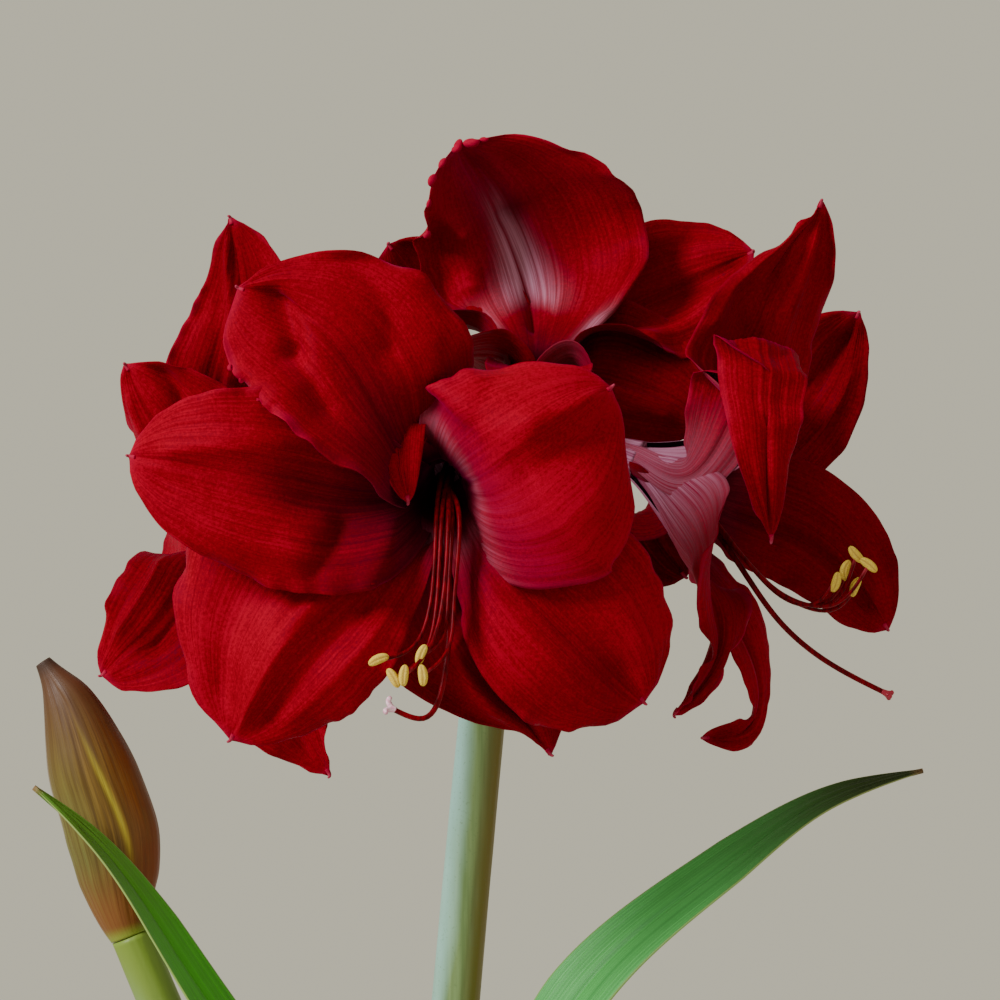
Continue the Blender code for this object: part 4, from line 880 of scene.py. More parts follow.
MATERIALS = {
    # Velvet red with fine veins, a dark throat deepened with painted shade, painted shade from the mouth,
    # whitish streaks and a purple band that are partly painted sheen, pink margins that are partly painted
    # highlight, and per-tepal painted light and shade
    "petal": dict(
        name="petal velvet", specular=0.06, roughness=("velvet", 0.3, 0.7, 0.5, 0.7),
        signals={
            "veins": ("blade", (40.0, 1.3, 1.0)),
            "fine": ("blade", (130.0, 4.0, 1.0), 2.0, 0.6),
            "cloud": ("place", 30.0, 2.0),
            "velvet": ("place", 900.0, 3.0, 0.65),
            "grain": ("place", 2200.0, 1.0),
            "veined": ("sum", [0.6, "veins"], [0.4, "fine"]),
            # shade: veins, cloudy and velvet blotches, and each tepal's painted light and shade
            "shade": ("sum", ("veined", 0.34, 0.66, 0.34, 0.66), ("cloud", 0.3, 0.7, -0.14, 0.14),
                      ("velvet", 0.3, 0.7, -0.16, 0.16), "tone"),
            "throat": ("sum", "dark", ("veined", 0.35, 0.65, -0.12, 0.12)),
        },
        base=(("shade", 0.0, 0.62), RED_DEEP, RED_FULL),
        layers=(
            (("shade", 0.5, 1.0), RED_BRIGHT),
            (("grain", 0.4, 0.75, 0.0, 0.25), RED_DEEP),
            # Purple band, part own marking and part painted sheen
            (["plum", ("veined", 0.4, 0.62, 0.4, 1.0)], PLUM),
            # Painted shade on the inner face towards the throat
            (["deep", ("veined", 0.36, 0.64, 1.0, 0.7), INSIDE], SHADE),
            # Pale streaks, part own marking and part painted sheen
            (["pale", ("veined", 0.42, 0.58, 0.3, 1.0)], PALE),
            # Dark throat, partly painted shade, and dark spots of painted shade
            ([("throat", 0.1, 0.9), INSIDE], THROAT),
            # Pink margins and tips, partly a painted highlight
            (["pink", ("fine", 0.3, 0.65, 0.6, 1.0)], MAGENTA),
            (["outside", "lilac"], [("veined", 0.42, 0.60), LILAC, MAROON]),
        ),
        bump=(([0.9, "veined"], [0.12, "grain"], [0.4, "velvet"]), 0.5, 0.3),
        extras=(("Sheen Weight", 0.12), ("Sheen Roughness", 0.4), ("Sheen Tint", (1.0, 0.0, 0.24)),
                ("Specular Tint", (1.0, 0.10, 0.42)))),
    # Glossy red filaments, darkened with painted shade along their first part inside the throat, and pale at
    # the tips
    "thread": dict(
        name="filament red", specular=0.14, roughness=0.36,
        signals={"streak": ("place", (900.0, 900.0, 120.0), 2.0)},
        base=(("streak", 0.35, 0.65), (0.06, 0.0002, 0.0016), (0.19, 0.0004, 0.006)),
        # Painted shade near the throat, then pale tips
        layers=((("run", 0.0, 0.4, 0.9, 0.0), (0.02, 0.0003, 0.0024)),
                (("run", 0.96, 1.0), (0.36, 0.03, 0.05))),
        bump=(("streak",), 0.2, 0.1), extras=(("Specular Tint", (1.0, 0.35, 0.42)),)),
    # Cream yellow pollen sacs with a grainy surface and painted shade in their groove
    "anther": dict(
        name="pollen", specular=0.15, roughness=0.85,
        signals={"grain": ("place", 2600.0, 2.0), "cloud": ("place", 420.0, 2.0)},
        base=(("grain", 0.35, 0.65), (0.54, 0.35, 0.03), (0.74, 0.55, 0.10)),
        # groove: painted shade along the groove between the sacs
        layers=((("cloud", 0.45, 0.7, 0.0, 0.55), (0.66, 0.42, 0.04)), ("groove", (0.36, 0.20, 0.05))),
        bump=(("grain",), 0.8, 0.25)),
    # Stigma lobes, pinkish white when ripe and red before
    "stigma": dict(
        name="stigma", specular=0.3, roughness=0.35,
        signals={"cloud": ("place", 900.0, 2.0)},
        base=(("cloud", 0.35, 0.7), (0.86, 0.62, 0.72), (0.62, 0.24, 0.36)),
        layers=((("ripe", 0.0, 1.0, 1.0, 0.0), (0.34, 0.012, 0.035)),),
        bump=(("cloud",), 0.4, 0.2)),
    # Waxy green stalk with a painted pale bluish highlight on its lit left side and painted olive shade, with
    # a warm painted reflection, on its right side
    "stalk": dict(
        name="stalk wax", specular=0.22, roughness=("cloud", 0.3, 0.7, 0.34, 0.5),
        signals={
            "lines": ("place", (420.0, 420.0, 14.0), 4.0, 0.6),
            "cloud": ("place", (40.0, 40.0, 12.0)),
            "specks": ("place", 900.0, 1.0),
            # bloom: the painted highlight of the lit side, varied by clouds
            "bloom": ("sum", "lit", ("cloud", 0.3, 0.7, -0.3, 0.3)),
        },
        base=(("lines", 0.35, 0.65), (0.12, 0.19, 0.065), (0.19, 0.28, 0.11)),
        # Painted highlight on the left side, painted olive shade on the right side
        layers=((("bloom", 0.15, 1.1), (0.29, 0.53, 0.47)), ("olive", (0.15, 0.115, 0.018)),
                (("specks", 0.62, 0.75, 0.0, 0.35), (0.10, 0.16, 0.06)), ("fresh", (0.17, 0.25, 0.035))),
        bump=(("lines",), 0.35, 0.25)),
    # Brown and green bud sheath with long veins, a reddish side, a yellow seam and a painted highlight along
    # its left edge
    "bud": dict(
        name="bud sheath", specular=0.2, roughness=("fine", 0.3, 0.7, 0.32, 0.5),
        signals={
            "veins": ("blade", (30.0, 1.5, 1.0), 4.0, 0.6),
            "fine": ("blade", (110.0, 6.0, 1.0)),
            "cloud": ("place", 45.0),
        },
        base=(("veins", 0.38, 0.62), (0.085, 0.040, 0.006), (0.19, 0.105, 0.020)),
        layers=(
            (["green", ("veins", 0.35, 0.6, 0.4, 1.0)], (0.13, 0.13, 0.03)),
            (["ruddy", ("cloud", 0.3, 0.6, 0.6, 1.0)], (0.19, 0.034, 0.0015)),
            ("seam", (0.33, 0.26, 0.02)),
            (("fine", 0.45, 0.7, 0.0, 0.4), (0.05, 0.028, 0.012)),
            # Painted highlight along the left edge
            ("pale", (0.30, 0.24, 0.18)),
            (["dusk", ("veins", 0.35, 0.65, 0.75, 1.0)], (0.070, 0.026, 0.019)),
            ("flushed", (0.20, 0.055, 0.012)),
            ("neck", (0.22, 0.27, 0.03)),
            ("dry", (0.045, 0.022, 0.014)),
        ),
        bump=(("veins", [0.5, "fine"]), 0.5, 0.35)),
    # Papery brown bulb skin with long fibres and flaking patches
    "tunic": dict(
        name="bulb tunic", specular=0.35, roughness=("fibres", 0.3, 0.7, 0.5, 0.75),
        signals={"fibres": ("blade", (60.0, 3.0, 1.0), 5.0, 0.65), "cloud": ("place", 30.0, 4.0)},
        base=(("fibres", 0.35, 0.65), (0.13, 0.055, 0.02), (0.36, 0.20, 0.09)),
        layers=((("cloud", 0.45, 0.62), (0.24, 0.10, 0.035)),
                (("cloud", 0.62, 0.74, 0.0, 0.7), (0.50, 0.36, 0.20)), ("fresh", (0.42, 0.44, 0.18))),
        bump=(("fibres",), 0.7, 0.6)),
    # Dark moist peat and bark crumbs
    "soil": dict(
        name="soil", specular=0.2, roughness=0.92,
        signals={"crumbs": ("place", 260.0, 5.0, 0.7), "cloud": ("place", 35.0, 2.0)},
        base=(("crumbs", 0.35, 0.65), (0.012, 0.007, 0.004), (0.065, 0.038, 0.022)),
        layers=((("cloud", 0.4, 0.7, 0.0, 0.5), (0.035, 0.02, 0.012)), ("bark", (0.13, 0.065, 0.03))),
        bump=(("crumbs",), 0.9, 1.2)),
    # Fired clay with a fine grain, kiln shades and a faint mineral bloom
    "clay": dict(
        name="fired clay", specular=0.25, roughness=("grain", 0.3, 0.7, 0.78, 0.95),
        signals={
            "grain": ("place", 700.0, 4.0, 0.7),
            "cloud": ("place", 16.0, 4.0),
            "lines": ("place", (6.0, 6.0, 260.0), 2.0),
        },
        base=(("cloud", 0.35, 0.65), (0.46, 0.17, 0.08), (0.60, 0.25, 0.13)),
        layers=((("grain", 0.35, 0.7, 0.0, 0.35), (0.34, 0.12, 0.06)),
                (("cloud", 0.58, 0.72, 0.0, 0.35), (0.70, 0.52, 0.42)),
                (("lines", 0.45, 0.7, 0.0, 0.12), (0.30, 0.11, 0.055)), ("damp", (0.24, 0.085, 0.04))),
        bump=(("grain", [0.8, "lines"]), 0.5, 0.4)),
    "floor": dict(
        name="floor", specular=0.1, roughness=0.9, signals={"cloud": ("place", 6.0, 2.0)},
        base=(("cloud", 0.3, 0.7), (0.60, 0.58, 0.53), (0.63, 0.61, 0.56))),
}


# Name, fresh green, deep green, tip and roughness
LEAF_LOOKS = (("bright leaf", (0.055, 0.37, 0.006), (0.028, 0.20, 0.003), (0.08, 0.19, 0.02), 0.36),
              ("blue leaf", (0.09, 0.46, 0.10), (0.048, 0.27, 0.058), (0.035, 0.055, 0.014), 0.38))


def leaf_material(name, fresh, deep, tip, gloss):
    """Strap leaf with parallel veins, a paler margin and a darker tip."""
    return layered(
        name, specular=0.18, roughness=("fine", 0.3, 0.7, gloss - 0.06, gloss + 0.08),
        signals={
            "veins": ("blade", (26.0, 2.0, 1.0), 4.0, 0.65),
            "fine": ("blade", (85.0, 14.0, 1.0)),
            "cloud": ("place", 22.0),
        },
        base=(("veins", 0.36, 0.64), deep, fresh),
        layers=((("fine", 0.4, 0.7, 0.0, 0.3), deep), (("cloud", 0.42, 0.7, 0.0, 0.35), fresh),
                ("aged", tip), ("margin", (0.36, 0.42, 0.14)), ("dry", (0.20, 0.11, 0.05))),
        bump=(("veins", [0.4, "fine"]), 0.45, 0.3))


# Blooms
def front_bloom():
    tepals = {
        "upper_left": Tepal(
            turn=-48, flare=0.22, belly=(-37, -44, 43), tip=(-73, -32, 64), face=(0.1, -0.95, -0.3),
            half=(35, 42), cup=(28, -6), roll=(0, -25), wave=2.5, phase=0.6, widest=(0.66, 0.6),
            blunt=(0.36, 1.1), growth=(1.8, 1.5), sweep=(0, 8),
            folds=((0.1, 0.92, -0.43, 0.76, 5, -5), (-0.43, 0.76, -0.53, 0.55, 5, -4),
                   (-0.85, 0.85, -0.75, 0.65, 8, 3), (0.77, 0.8, 0.35, 0.6, 5, -3),
                   (0.9, 0.65, 0.6, 0.5, 8, 3))),
        "left": Tepal(
            inner=True, turn=-95, flare=0.22, belly=(-64, -48, -4), tip=(-111, -34, 5),
            face=(0.1, -0.97, 0.05),
            half=(36, 33), cup=(4, 12), roll=(-30, -10), wave=2.5, phase=2.0, widest=(0.5, 0.58),
            growth=(2.4, 2.0), sweep=(4, 0),
            folds=((-0.1, 0.25, -0.03, 0.5, 13, -5), (0.17, 0.88, 0.55, 0.5, 7, 3),
                   (-0.97, 0.4, -0.35, 0.32, 5, 5), (-0.8, 0.5, -0.3, 0.42, 5, -4),
                   (-0.3, 0.9, -0.45, 0.6, 6, -2))),
        "lower_left": Tepal(
            turn=-145, flare=0.22, belly=(-53, -40, -56), tip=(-76, -26, -95), face=(-0.1, -0.95, 0.2),
            half=(36, 66), cup=(-6, -4), roll=(-20, -30), widest=(0.64, 0.54), growth=(3.0, 2.6),
            blunt=(0.62, 0.95), sweep=(0, 6),
            folds=((0.03, 0.5, -0.08, 0.97, 5, 4), (-0.3, 0.5, -0.35, 0.9, 6, -3),
                   (-0.65, 0.55, -0.6, 0.85, 6, 2), (0.35, 0.55, 0.4, 0.9, 8, -3))),
        "right": Tepal(
            inner=True, turn=72, flare=0.22, belly=(23, -56, 3), tip=(58, -42, 29), face=(0.05, -1.0, -0.05),
            half=(38, 54), cup=(-4, -4), roll=(-20, -25), wave=1.5, phase=1.0, widest=(0.5, 0.58),
            growth=(2.0, 2.8), sweep=(14, 0),
            folds=((0.05, 0.98, -0.2, 0.72, 5, 3), (0.22, 0.92, 0.1, 0.6, 6, -3),
                   (-0.75, 0.75, -0.4, 0.5, 6, -2), (0.6, 0.75, 0.5, 0.5, 8, 2))),
        "lower_right": Tepal(
            turn=125, flare=0.22, belly=(50, -36, -58), tip=(70, -22, -82), face=(0.1, -0.97, 0.15),
            half=(39, 38), roll=(-15, -15), phase=4.0, blunt=(0.55, 0.5),
            widest=(0.58, 0.7), growth=(2.0, 2.6), sweep=(4, 0),
            folds=((0.55, 0.45, 0.3, 0.85, 9, 3), (0.1, 0.55, 0.0, 0.9, 7, -3),
                   (-0.5, 0.6, -0.4, 0.85, 8, 2))),
        "bottom": Tepal(
            inner=True, turn=178, flare=0.22, belly=(10, -20, -56), tip=(37, -6, -101), face=(0.0, -1.0, 0.1),
            half=(32, 34), cup=(0, 4), phase=3.0, widest=(0.52, 0.5), blunt=(0.8, 2.0),
            folds=((-0.25, 0.54, 0.27, 0.58, 4, 4), (0.27, 0.58, 0.5, 0.8, 5, 4),
                   (0.05, 0.64, 0.2, 0.88, 5, -4), (0.75, 0.5, 0.7, 0.7, 5, -3))),
        "lobe": Tepal(
            inner=True, turn=-38, funnel=14, belly=(-15, -29, 16), bend=(-16, -38, 4), tip=(-13, -38, -11),
            face=(-0.1, -0.3, 1.0), tip_face=(0.1, -1.0, 0.1), half=(9, 8), roll=(-15, -15),
            wave=0.5, growth=(1.0, 1.0)),
    }
    filaments = [
        [(-3, -30, -12), (-5, -42, -45), (-12, -48, -62), (-23, -52, -66)],
        [(-1, -31, -12), (-3, -44, -46), (-9, -52, -66), (-18, -56, -72)],
        [(1, -32, -12), (-1, -46, -46), (-7, -54, -64), (-14, -58, -71)],
        [(2, -30, -12), (1, -42, -44), (-2, -50, -60), (-8, -54, -64)],
        [(4, -31, -12), (3, -44, -46), (0, -52, -64), (-8, -57, -71)],
    ]
    style = [(0, -28, -12), (1, -38, -40), (0, -46, -70), (-7, -50, -86), (-18, -50, -83)]
    return Bloom(
        throat=(18, -64, 588), axis=(-0.1, -0.95, -0.3), pedicel=(30, -18, 574),
        tepals=tepals, filaments=filaments, style=style)


def right_bloom():
    tepals = {
        "upper": Tepal(
            inner=True, turn=-10, flare=0.6, belly=(45, -14, 40), tip=(66, -22, 94),
            face=(0.35, -0.85, -0.35),
            half=(33, 21), cup=(6, 0), roll=(-20, 10), wave=2.5, phase=1.0, widest=(0.42, 0.5),
            blunt=(1.5, 0.7),
            folds=((-0.7, 0.7, 0.1, 0.45, 6, -3), (0.25, 0.9, 0.3, 0.6, 5, 2),
                   (-0.4, 0.95, -0.3, 0.7, 6, -3), (-0.85, 0.85, -0.8, 0.6, 5, 3))),
        "near": Tepal(
            turn=-75, flare=0.6, belly=(42, -36, 43), bend=(44, -57, 10), tip=(46, -54, -29),
            face=(0.2, -0.2, 1.0), tip_face=(0.3, -0.95, 0.15), half=(17, 18),
            cup=(-4, -4), roll=(-14, -12), wave=1.0, widest=(0.5, 0.5), blunt=(1.0, 1.0),
            folds=((0.0, 0.78, 0.1, 0.95, 4, -2),)),
        "far_right": Tepal(
            turn=55, flare=0.6, belly=(59, 26, 14), tip=(82, 14, 55), face=(0.1, -1.0, 0.0),
            half=(32, 22), roll=(-10, 0), phase=2.0, widest=(0.55, 0.38),
            blunt=(0.62, 0.8),
            folds=((-0.3, 0.5, 0.0, 0.9, 6, -3), (0.4, 0.5, 0.5, 0.8, 6, 2))),
        "lower_right": Tepal(
            inner=True, turn=110, flare=0.6, belly=(61, 14, -28), tip=(92, 4, -62), face=(0.05, -0.95, 0.3),
            half=(28, 20), roll=(0, -10), wave=1.5, phase=0.5, widest=(0.48, 0.55),
            blunt=(0.75, 0.5),
            folds=((0.0, 0.4, 0.1, 0.9, 5, -3), (-0.6, 0.5, -0.4, 0.85, 7, 2))),
        "near_low": Tepal(
            inner=True, turn=-130, flare=0.7, belly=(29, -40, -66), tip=(12, -36, -92),
            face=(0.8, -0.55, 0.1),
            half=(26, 32), cup=(12, 12), wave=1.5, phase=0.3, widest=(0.42, 0.44), growth=(1.5, 1.5),
            blunt=(4.0, 4.0), tail=7.0,
            folds=((0.1, 0.5, 0.0, 0.9, 4, -3),)),
        "lowest": Tepal(
            turn=178, flare=0.6, belly=(41, -12, -72), bend=(41, -12, -97), tip=(23, -18, -101),
            face=(0.75, -0.6, 0.2), half=(16, 16), cup=(10, 10), wave=1.0, phase=1.0, widest=(0.4, 0.4),
            blunt=(2.0, 2.0), tail=7.0,
            folds=((0.0, 0.45, 0.0, 0.85, 4, -2),)),
        "fold": Tepal(
            inner=True, turn=170, funnel=6, belly=(5, 12, -22), tip=(18, 16, -43), face=(0.2, -0.95, 0.1),
            half=(13, 21), roll=(0, -10), wave=0.5, widest=(0.5, 0.5), growth=(1.0, 0.8),
            blunt=(1.0, 0.5)),
    }
    filaments = [
        [(38, -24, -36), (54, -28, -50), (68, -30, -52), (78, -30, -34)],
        [(38, -25, -36), (54, -30, -50), (70, -33, -52), (82, -33, -38)],
        [(38, -23, -36), (54, -26, -50), (66, -27, -52), (75, -27, -40)],
        [(38, -24, -36), (52, -28, -50), (62, -32, -52), (70, -32, -44)],
        [(38, -24, -36), (55, -28, -51), (70, -28, -54), (78, -28, -46)],
    ]
    style = [(36, -22, -38), (50, -26, -58), (66, -28, -72), (88, -30, -84)]
    return Bloom(
        throat=(88, -12, 592), axis=(0.88, -0.28, -0.37), pedicel=(54, 2, 590),
        tepals=tepals, filaments=filaments, style=style)


def top_bloom():
    tepals = {
        "upper": Tepal(
            inner=True, turn=0, funnel=10, belly=(-3, 26, 45), bend=(-12, 20, 69), tip=(-28, 2, 94),
            face=(0.0, -0.97, 0.15), tip_face=(0.2, -0.9, -0.3),
            half=(39, 52), cup=(4, 8), roll=(15, 12), wave=3.0, phase=1.6, widest=(0.52, 0.6),
            blunt=(0.5, 0.78), sweep=(0, 12),
            folds=((0.03, 0.92, 0.08, 0.68, 4, -3), (0.08, 0.68, 0.0, 0.3, 4, -4),
                   (-0.9, 0.95, -0.45, 0.73, 4, 3), (-0.45, 0.73, -0.5, 0.5, 6, 3),
                   (-0.78, 0.75, -0.8, 0.45, 8, -4), (0.95, 0.2, 0.95, 0.5, 5, 5),
                   (0.45, 0.85, 0.5, 0.5, 10, -3), (-0.7, 0.26, -0.6, 0.4, 3, -3))),
        "right_up": Tepal(
            turn=62, funnel=14, belly=(46, 22, 38), tip=(83, 12, 55), face=(-0.2, -0.9, 0.3),
            half=(33, 30), roll=(-10, 10), widest=(0.5, 0.6), blunt=(0.8, 0.62),
            folds=((0.0, 0.4, 0.1, 0.9, 6, -3), (0.6, 0.5, 0.5, 0.85, 7, 3))),
        "right_down": Tepal(
            inner=True, turn=100, funnel=8, belly=(34, 2, 6), tip=(66, 4, -9), face=(-0.1, -0.9, 0.35),
            half=(32, 24), roll=(-10, -10), phase=2.0, widest=(0.5, 0.5),
            growth=(1.5, 0.8),
            folds=((0.0, 0.4, -0.1, 0.9, 5, -2), (0.5, 0.5, 0.4, 0.8, 6, 3))),
        "near": Tepal(
            turn=180, funnel=10, belly=(2, -24, 9), tip=(2, -44, -2), face=(0.0, 0.3, 0.95),
            half=(20, 20), cup=(5, 5), wave=1.0, phase=2.0),
        "left_down": Tepal(
            inner=True, turn=-120, funnel=12, belly=(-38, -6, 14), tip=(-58, -6, 2), face=(0.2, -0.2, 0.9),
            half=(22, 22), roll=(-10, -10), phase=1.0),
        "left_up": Tepal(
            turn=-62, funnel=14, belly=(-38, 26, 38), tip=(-54, 22, 58), face=(0.2, -0.9, 0.3),
            half=(30, 28)),
    }
    filaments = [
        [(-2, -10, 9), (-8, -24, 7), (-10, -38, 0)],
        [(0, -11, 10), (-3, -26, 8), (-4, -42, 0)],
        [(2, -11, 10), (3, -26, 8), (3, -40, -1)],
        [(3, -10, 9), (8, -24, 7), (9, -42, 0)],
        [(4, -10, 9), (13, -22, 7), (15, -38, 0)],
    ]
    style = [(2, -12, 9), (6, -28, 7), (6, -50, -1)]
    return Bloom(
        throat=(49, 14, 616), axis=(0.05, -0.35, 0.93), pedicel=(44, 14, 575),
        tepals=tepals, filaments=filaments, style=style)


def left_bloom():
    tepals = {
        "upper": Tepal(
            inner=True, turn=0, belly=(-19, -20, 58), tip=(-22, -26, 96), face=(-0.3, -0.9, 0.1),
            half=(21, 28), cup=(10, 10), roll=(0, 10), wave=2.5, phase=1.0, blunt=(1.0, 0.8),
            folds=((-0.4, 0.92, 0.1, 0.55, 5, 3), (0.5, 0.8, 0.5, 0.5, 6, -3))),
        "near_up": Tepal(
            turn=60, belly=(-42, -28, 12), tip=(-60, -34, 42), face=(-0.4, -0.85, 0.1),
            half=(24, 34), blunt=(0.9, 0.8), sweep=(16, 0),
            folds=((0.65, 0.92, 0.1, 0.6, 5, -4), (-0.4, 0.85, -0.3, 0.55, 6, 2))),
        "near_down": Tepal(
            inner=True, turn=120, belly=(-42, -20, -40), tip=(-70, -16, -72), face=(-0.4, -0.9, 0.1),
            half=(34, 24), phase=2.0,
            folds=((-0.2, 0.8, 0.0, 0.45, 6, -4), (0.4, 0.85, 0.45, 0.55, 6, 3))),
        "lowest": Tepal(
            turn=180, belly=(-8, -14, -72), tip=(14, -14, -109), face=(-0.4, -0.9, 0.0),
            half=(22, 26), wave=3.0, phase=1.0, widest=(0.5, 0.55), blunt=(1.1, 0.9),
            folds=((0.0, 0.5, 0.3, 0.9, 5, -3), (0.6, 0.55, 0.7, 0.85, 5, 3))),
        "far_down": Tepal(
            inner=True, turn=-120, belly=(-40, 44, -44), tip=(-46, 66, -70), face=(-0.8, -0.5, 0.0),
            half=(32, 32)),
        "far_up": Tepal(
            turn=-60, belly=(-38, 44, 40), tip=(-42, 66, 62), face=(-0.8, -0.5, 0.0),
            half=(32, 32), phase=2.0),
    }
    filaments = [
        [(-22, 2, -4), (-36, 4, -4), (-45, 4, 4)],
        [(-22, 4, -4), (-36, 8, -4), (-47, 10, 5)],
        [(-22, 0, -4), (-36, 0, -6), (-44, -2, 1)],
        [(-22, 3, -5), (-37, 7, -8), (-48, 10, -2)],
        [(-22, 1, -5), (-36, 3, -9), (-46, 4, -4)],
    ]
    style = [(-22, 2, -6), (-38, 6, -7), (-54, 10, -2)]
    return Bloom(
        throat=(-40, 8, 585), axis=(-0.92, 0.1, -0.12), pedicel=(-6, 6, 580),
        tepals=tepals, filaments=filaments, style=style)


# Looks of single tepals. tone is painted light above zero and painted shade below zero, over the whole tepal;
# deep is how far painted shade reaches from the throat.
LOOKS = {
    "front": {
        "upper_left": {"band": 0.05, "pink": (0.35, 0.06), "deep": 0.46, "frill": 1.3,
                       "knobs": ((0, 0.90, 1.0), (0, 0.86, 0.8), (0, 0.80, 0.9), (0, 0.74, 0.7))},
        "left": {"band": 0.05, "pink": (0.06, 0.15), "deep": 0.56},
        "lower_left": {"band": 0.05, "pink": (0.06, 0.2), "deep": 0.26, "frill": 1.1},
        "right": {"band": 0.5, "pink": (0.12, 0.12), "frill": 0.7, "deep": 0.12, "tone": 0.1},
        "lower_right": {"band": 0.3, "pink": (0.08, 0.1), "frill": 1.2, "deep": 0.16},
        "bottom": {"band": 0.3, "pink": (0.2, 0.2), "tone": -0.12, "deep": 0.4},
        "lobe": {"pink": (0.2, 0.3), "frill": 0.3, "band": 0.0, "deep": 0.1},
    },
    "right": {
        "upper": {"pink": (0.2, 0.3), "frill": 1.2, "tone": -0.12, "deep": 0.2},
        "near": {"pink": (0.3, 0.5), "band": 0.1, "deep": 0.1, "tone": -0.05, "lilac": 0.45,
                 "creases": ((0.52, 1.0), (0.58, -1.2), (0.64, 1.4), (0.7, -1.1), (0.76, 1.0))},
        "far_right": {"pink": (0.08, 0.08), "tone": -0.2},
        "lower_right": {"pink": (0.08, 0.08), "tone": -0.15},
        "near_low": {"pink": (0.6, 0.2), "frill": 1.3, "tone": -0.05, "deep": 0.15, "blush": 0.7},
        "lowest": {"pink": (0.3, 0.15), "frill": 0.8},
        # This blade stands in shadow: painted shade darkens its red and its base
        "fold": {"pink": (0.1, 0.1), "frill": 0.4, "tone": -0.3, "deep": 0.5, "lilac": 0.0,
                 "gloom": 0.0, "tail": 9.0},
    },
    "top": {
        "upper": {"streak": 0.95, "band": 0.0, "pink": (0.3, 0.3), "frill": 1.3, "tone": 0.0,
                  "lilac": 0.0, "deep": 0.3,
                  # Patches: pale spots, part the paler colour of folded margins and part painted sheen, and a
                  # dark slot of painted shade in a fold
                  "patches": ((-0.6, 0.33, 0.13, 0.07, 0.35), (0.92, 0.28, 0.15, 0.055, 0.4),
                              (-0.84, 0.28, 0.08, 0.05, -0.9)),
                  "knobs": ((0, 0.995, 2.2), (0, 0.985, 1.7), (0, 0.97, 2.0), (0, 0.93, 1.3),
                            (0, 0.84, 1.6), (1, 0.99, 2.4), (1, 0.975, 1.3))},
        "right_up": {"pink": (0.08, 0.08), "tone": -0.1, "lilac": 0.0},
        "right_down": {"pink": (0.08, 0.08), "tone": -0.2, "lilac": 0.0, "band": 0.3},
        "near": {"tone": -0.2, "lilac": 0.0},
        "left_down": {"tone": -0.1, "lilac": 0.0},
        "left_up": {"tone": -0.1, "lilac": 0.0, "half": (35.0, 28.0)},
    },
    "left": {
        "upper": {"pink": (0.3, 0.15), "frill": 1.2, "tone": -0.1},
        "near_up": {"pink": (0.5, 0.1), "tone": 0.05},
        "near_down": {"pink": (0.1, 0.1), "frill": 1.2, "tone": -0.15},
        "lowest": {"pink": (0.1, 0.1), "frill": 1.4, "tone": -0.05},
    },
}


# How far the stigma has opened
RIPE = {"front": 1.0, "right": 0.0, "top": 0.5, "left": 0.5}

# Direction and bend of each anther
ANTHERS = {
    "front": [((1.0, 0.1, 0.42), 0.5), ((-0.5, 0.1, 0.85), -0.3), ((0.1, 0.1, 1.0), 0.3),
              ((0.35, 0.1, 0.9), 0.4), ((-0.1, 0.1, 1.0), -0.4)],
    "right": [((-0.7, 0.1, 0.8), 0.4), ((-0.9, 0.1, 0.7), -0.4), ((0.2, 0.1, 0.9), 1.2),
              ((0.3, 0.1, 1.0), -0.5), ((0.4, 0.1, 0.9), 0.6)],
    "top": [((0.4, -0.6, 0.3), 0.3)] * 5,
    "left": [((0.5, 0.3, 0.8), 0.3)] * 5,
}


# Bloom pieces
def tapered(radius, loss, power=1.0):
    """The radius of a rod that loses a share of its thickness towards its end."""
    return lambda u, turn: radius * (1.0 - loss * u**power)


def oval(u, least):
    """The outline of an egg from end to end, never below the root of the least value."""
    return math.sqrt(max(1.0 - (2.0 * u - 1.0) ** 2, least))


def add_tube(skin, bloom):
    throat = np.asarray(bloom.throat, float)
    low, high = TUBE_RADIUS

    def radius(u, turn):
        return low + (high - low) * u + TUBE_RIDGE * np.cos(6.0 * turn)

    points, faces, run, turn = rod([throat - unit(bloom.axis) * TUBE_LENGTH, throat], radius, *TUBE_MESH)
    skin.add(points, faces, blade=blade_place(turn / math.pi - 1.0, run * 0.3, 0.0), outside=1.0, lilac=1.0)


def add_nub(skin, grid, seed):
    """The small pale horn at a tepal's tip, curled to its inner face."""
    middle = grid.shape[1] // 2
    tip = grid[-1, middle]
    ahead = unit(tip - grid[-4, middle])
    inward = surface_normals(grid)[-3, middle]
    points = [tip + ahead * run + inward * rise for run, rise in NUB_ROUTE]
    points, faces, run, turn = rod(points, tapered(NUB_RADIUS, 0.6, 1.5), *NUB_MESH)
    skin.add(points, faces, blade=blade_place(np.cos(turn) * 0.1, run, seed), pale=run * 0.35, pink=0.6)


def add_knob(skin, grid, side, run, size, seed):
    """A small rounded curl on a tepal's margin."""
    row = round(run * TEPAL_ROWS)
    column, inside = (0, 2) if side == 0 else (-1, -3)
    place = grid[row, column]
    outward = unit(place - grid[row, inside])
    ahead = unit(grid[min(row + 1, TEPAL_ROWS), column] - grid[row - 1, column])
    inward = surface_normals(grid)[row, column]
    sunk = place - outward * size * KNOB_SINK
    points = [sunk - ahead * size * KNOB_REACH, place + (outward + inward) * size * KNOB_RISE,
              sunk + ahead * size * KNOB_REACH]

    def radius(u, turn):
        return size * KNOB_RADIUS * oval(u, 0.06) + 0.1 * np.cos(3.0 * turn)

    points, faces, run, turn = rod(points, radius, *KNOB_MESH)
    # Pink curl, partly a painted highlight
    skin.add(points, faces, blade=blade_place(np.cos(turn) * 0.1, run, seed), pink=0.5)


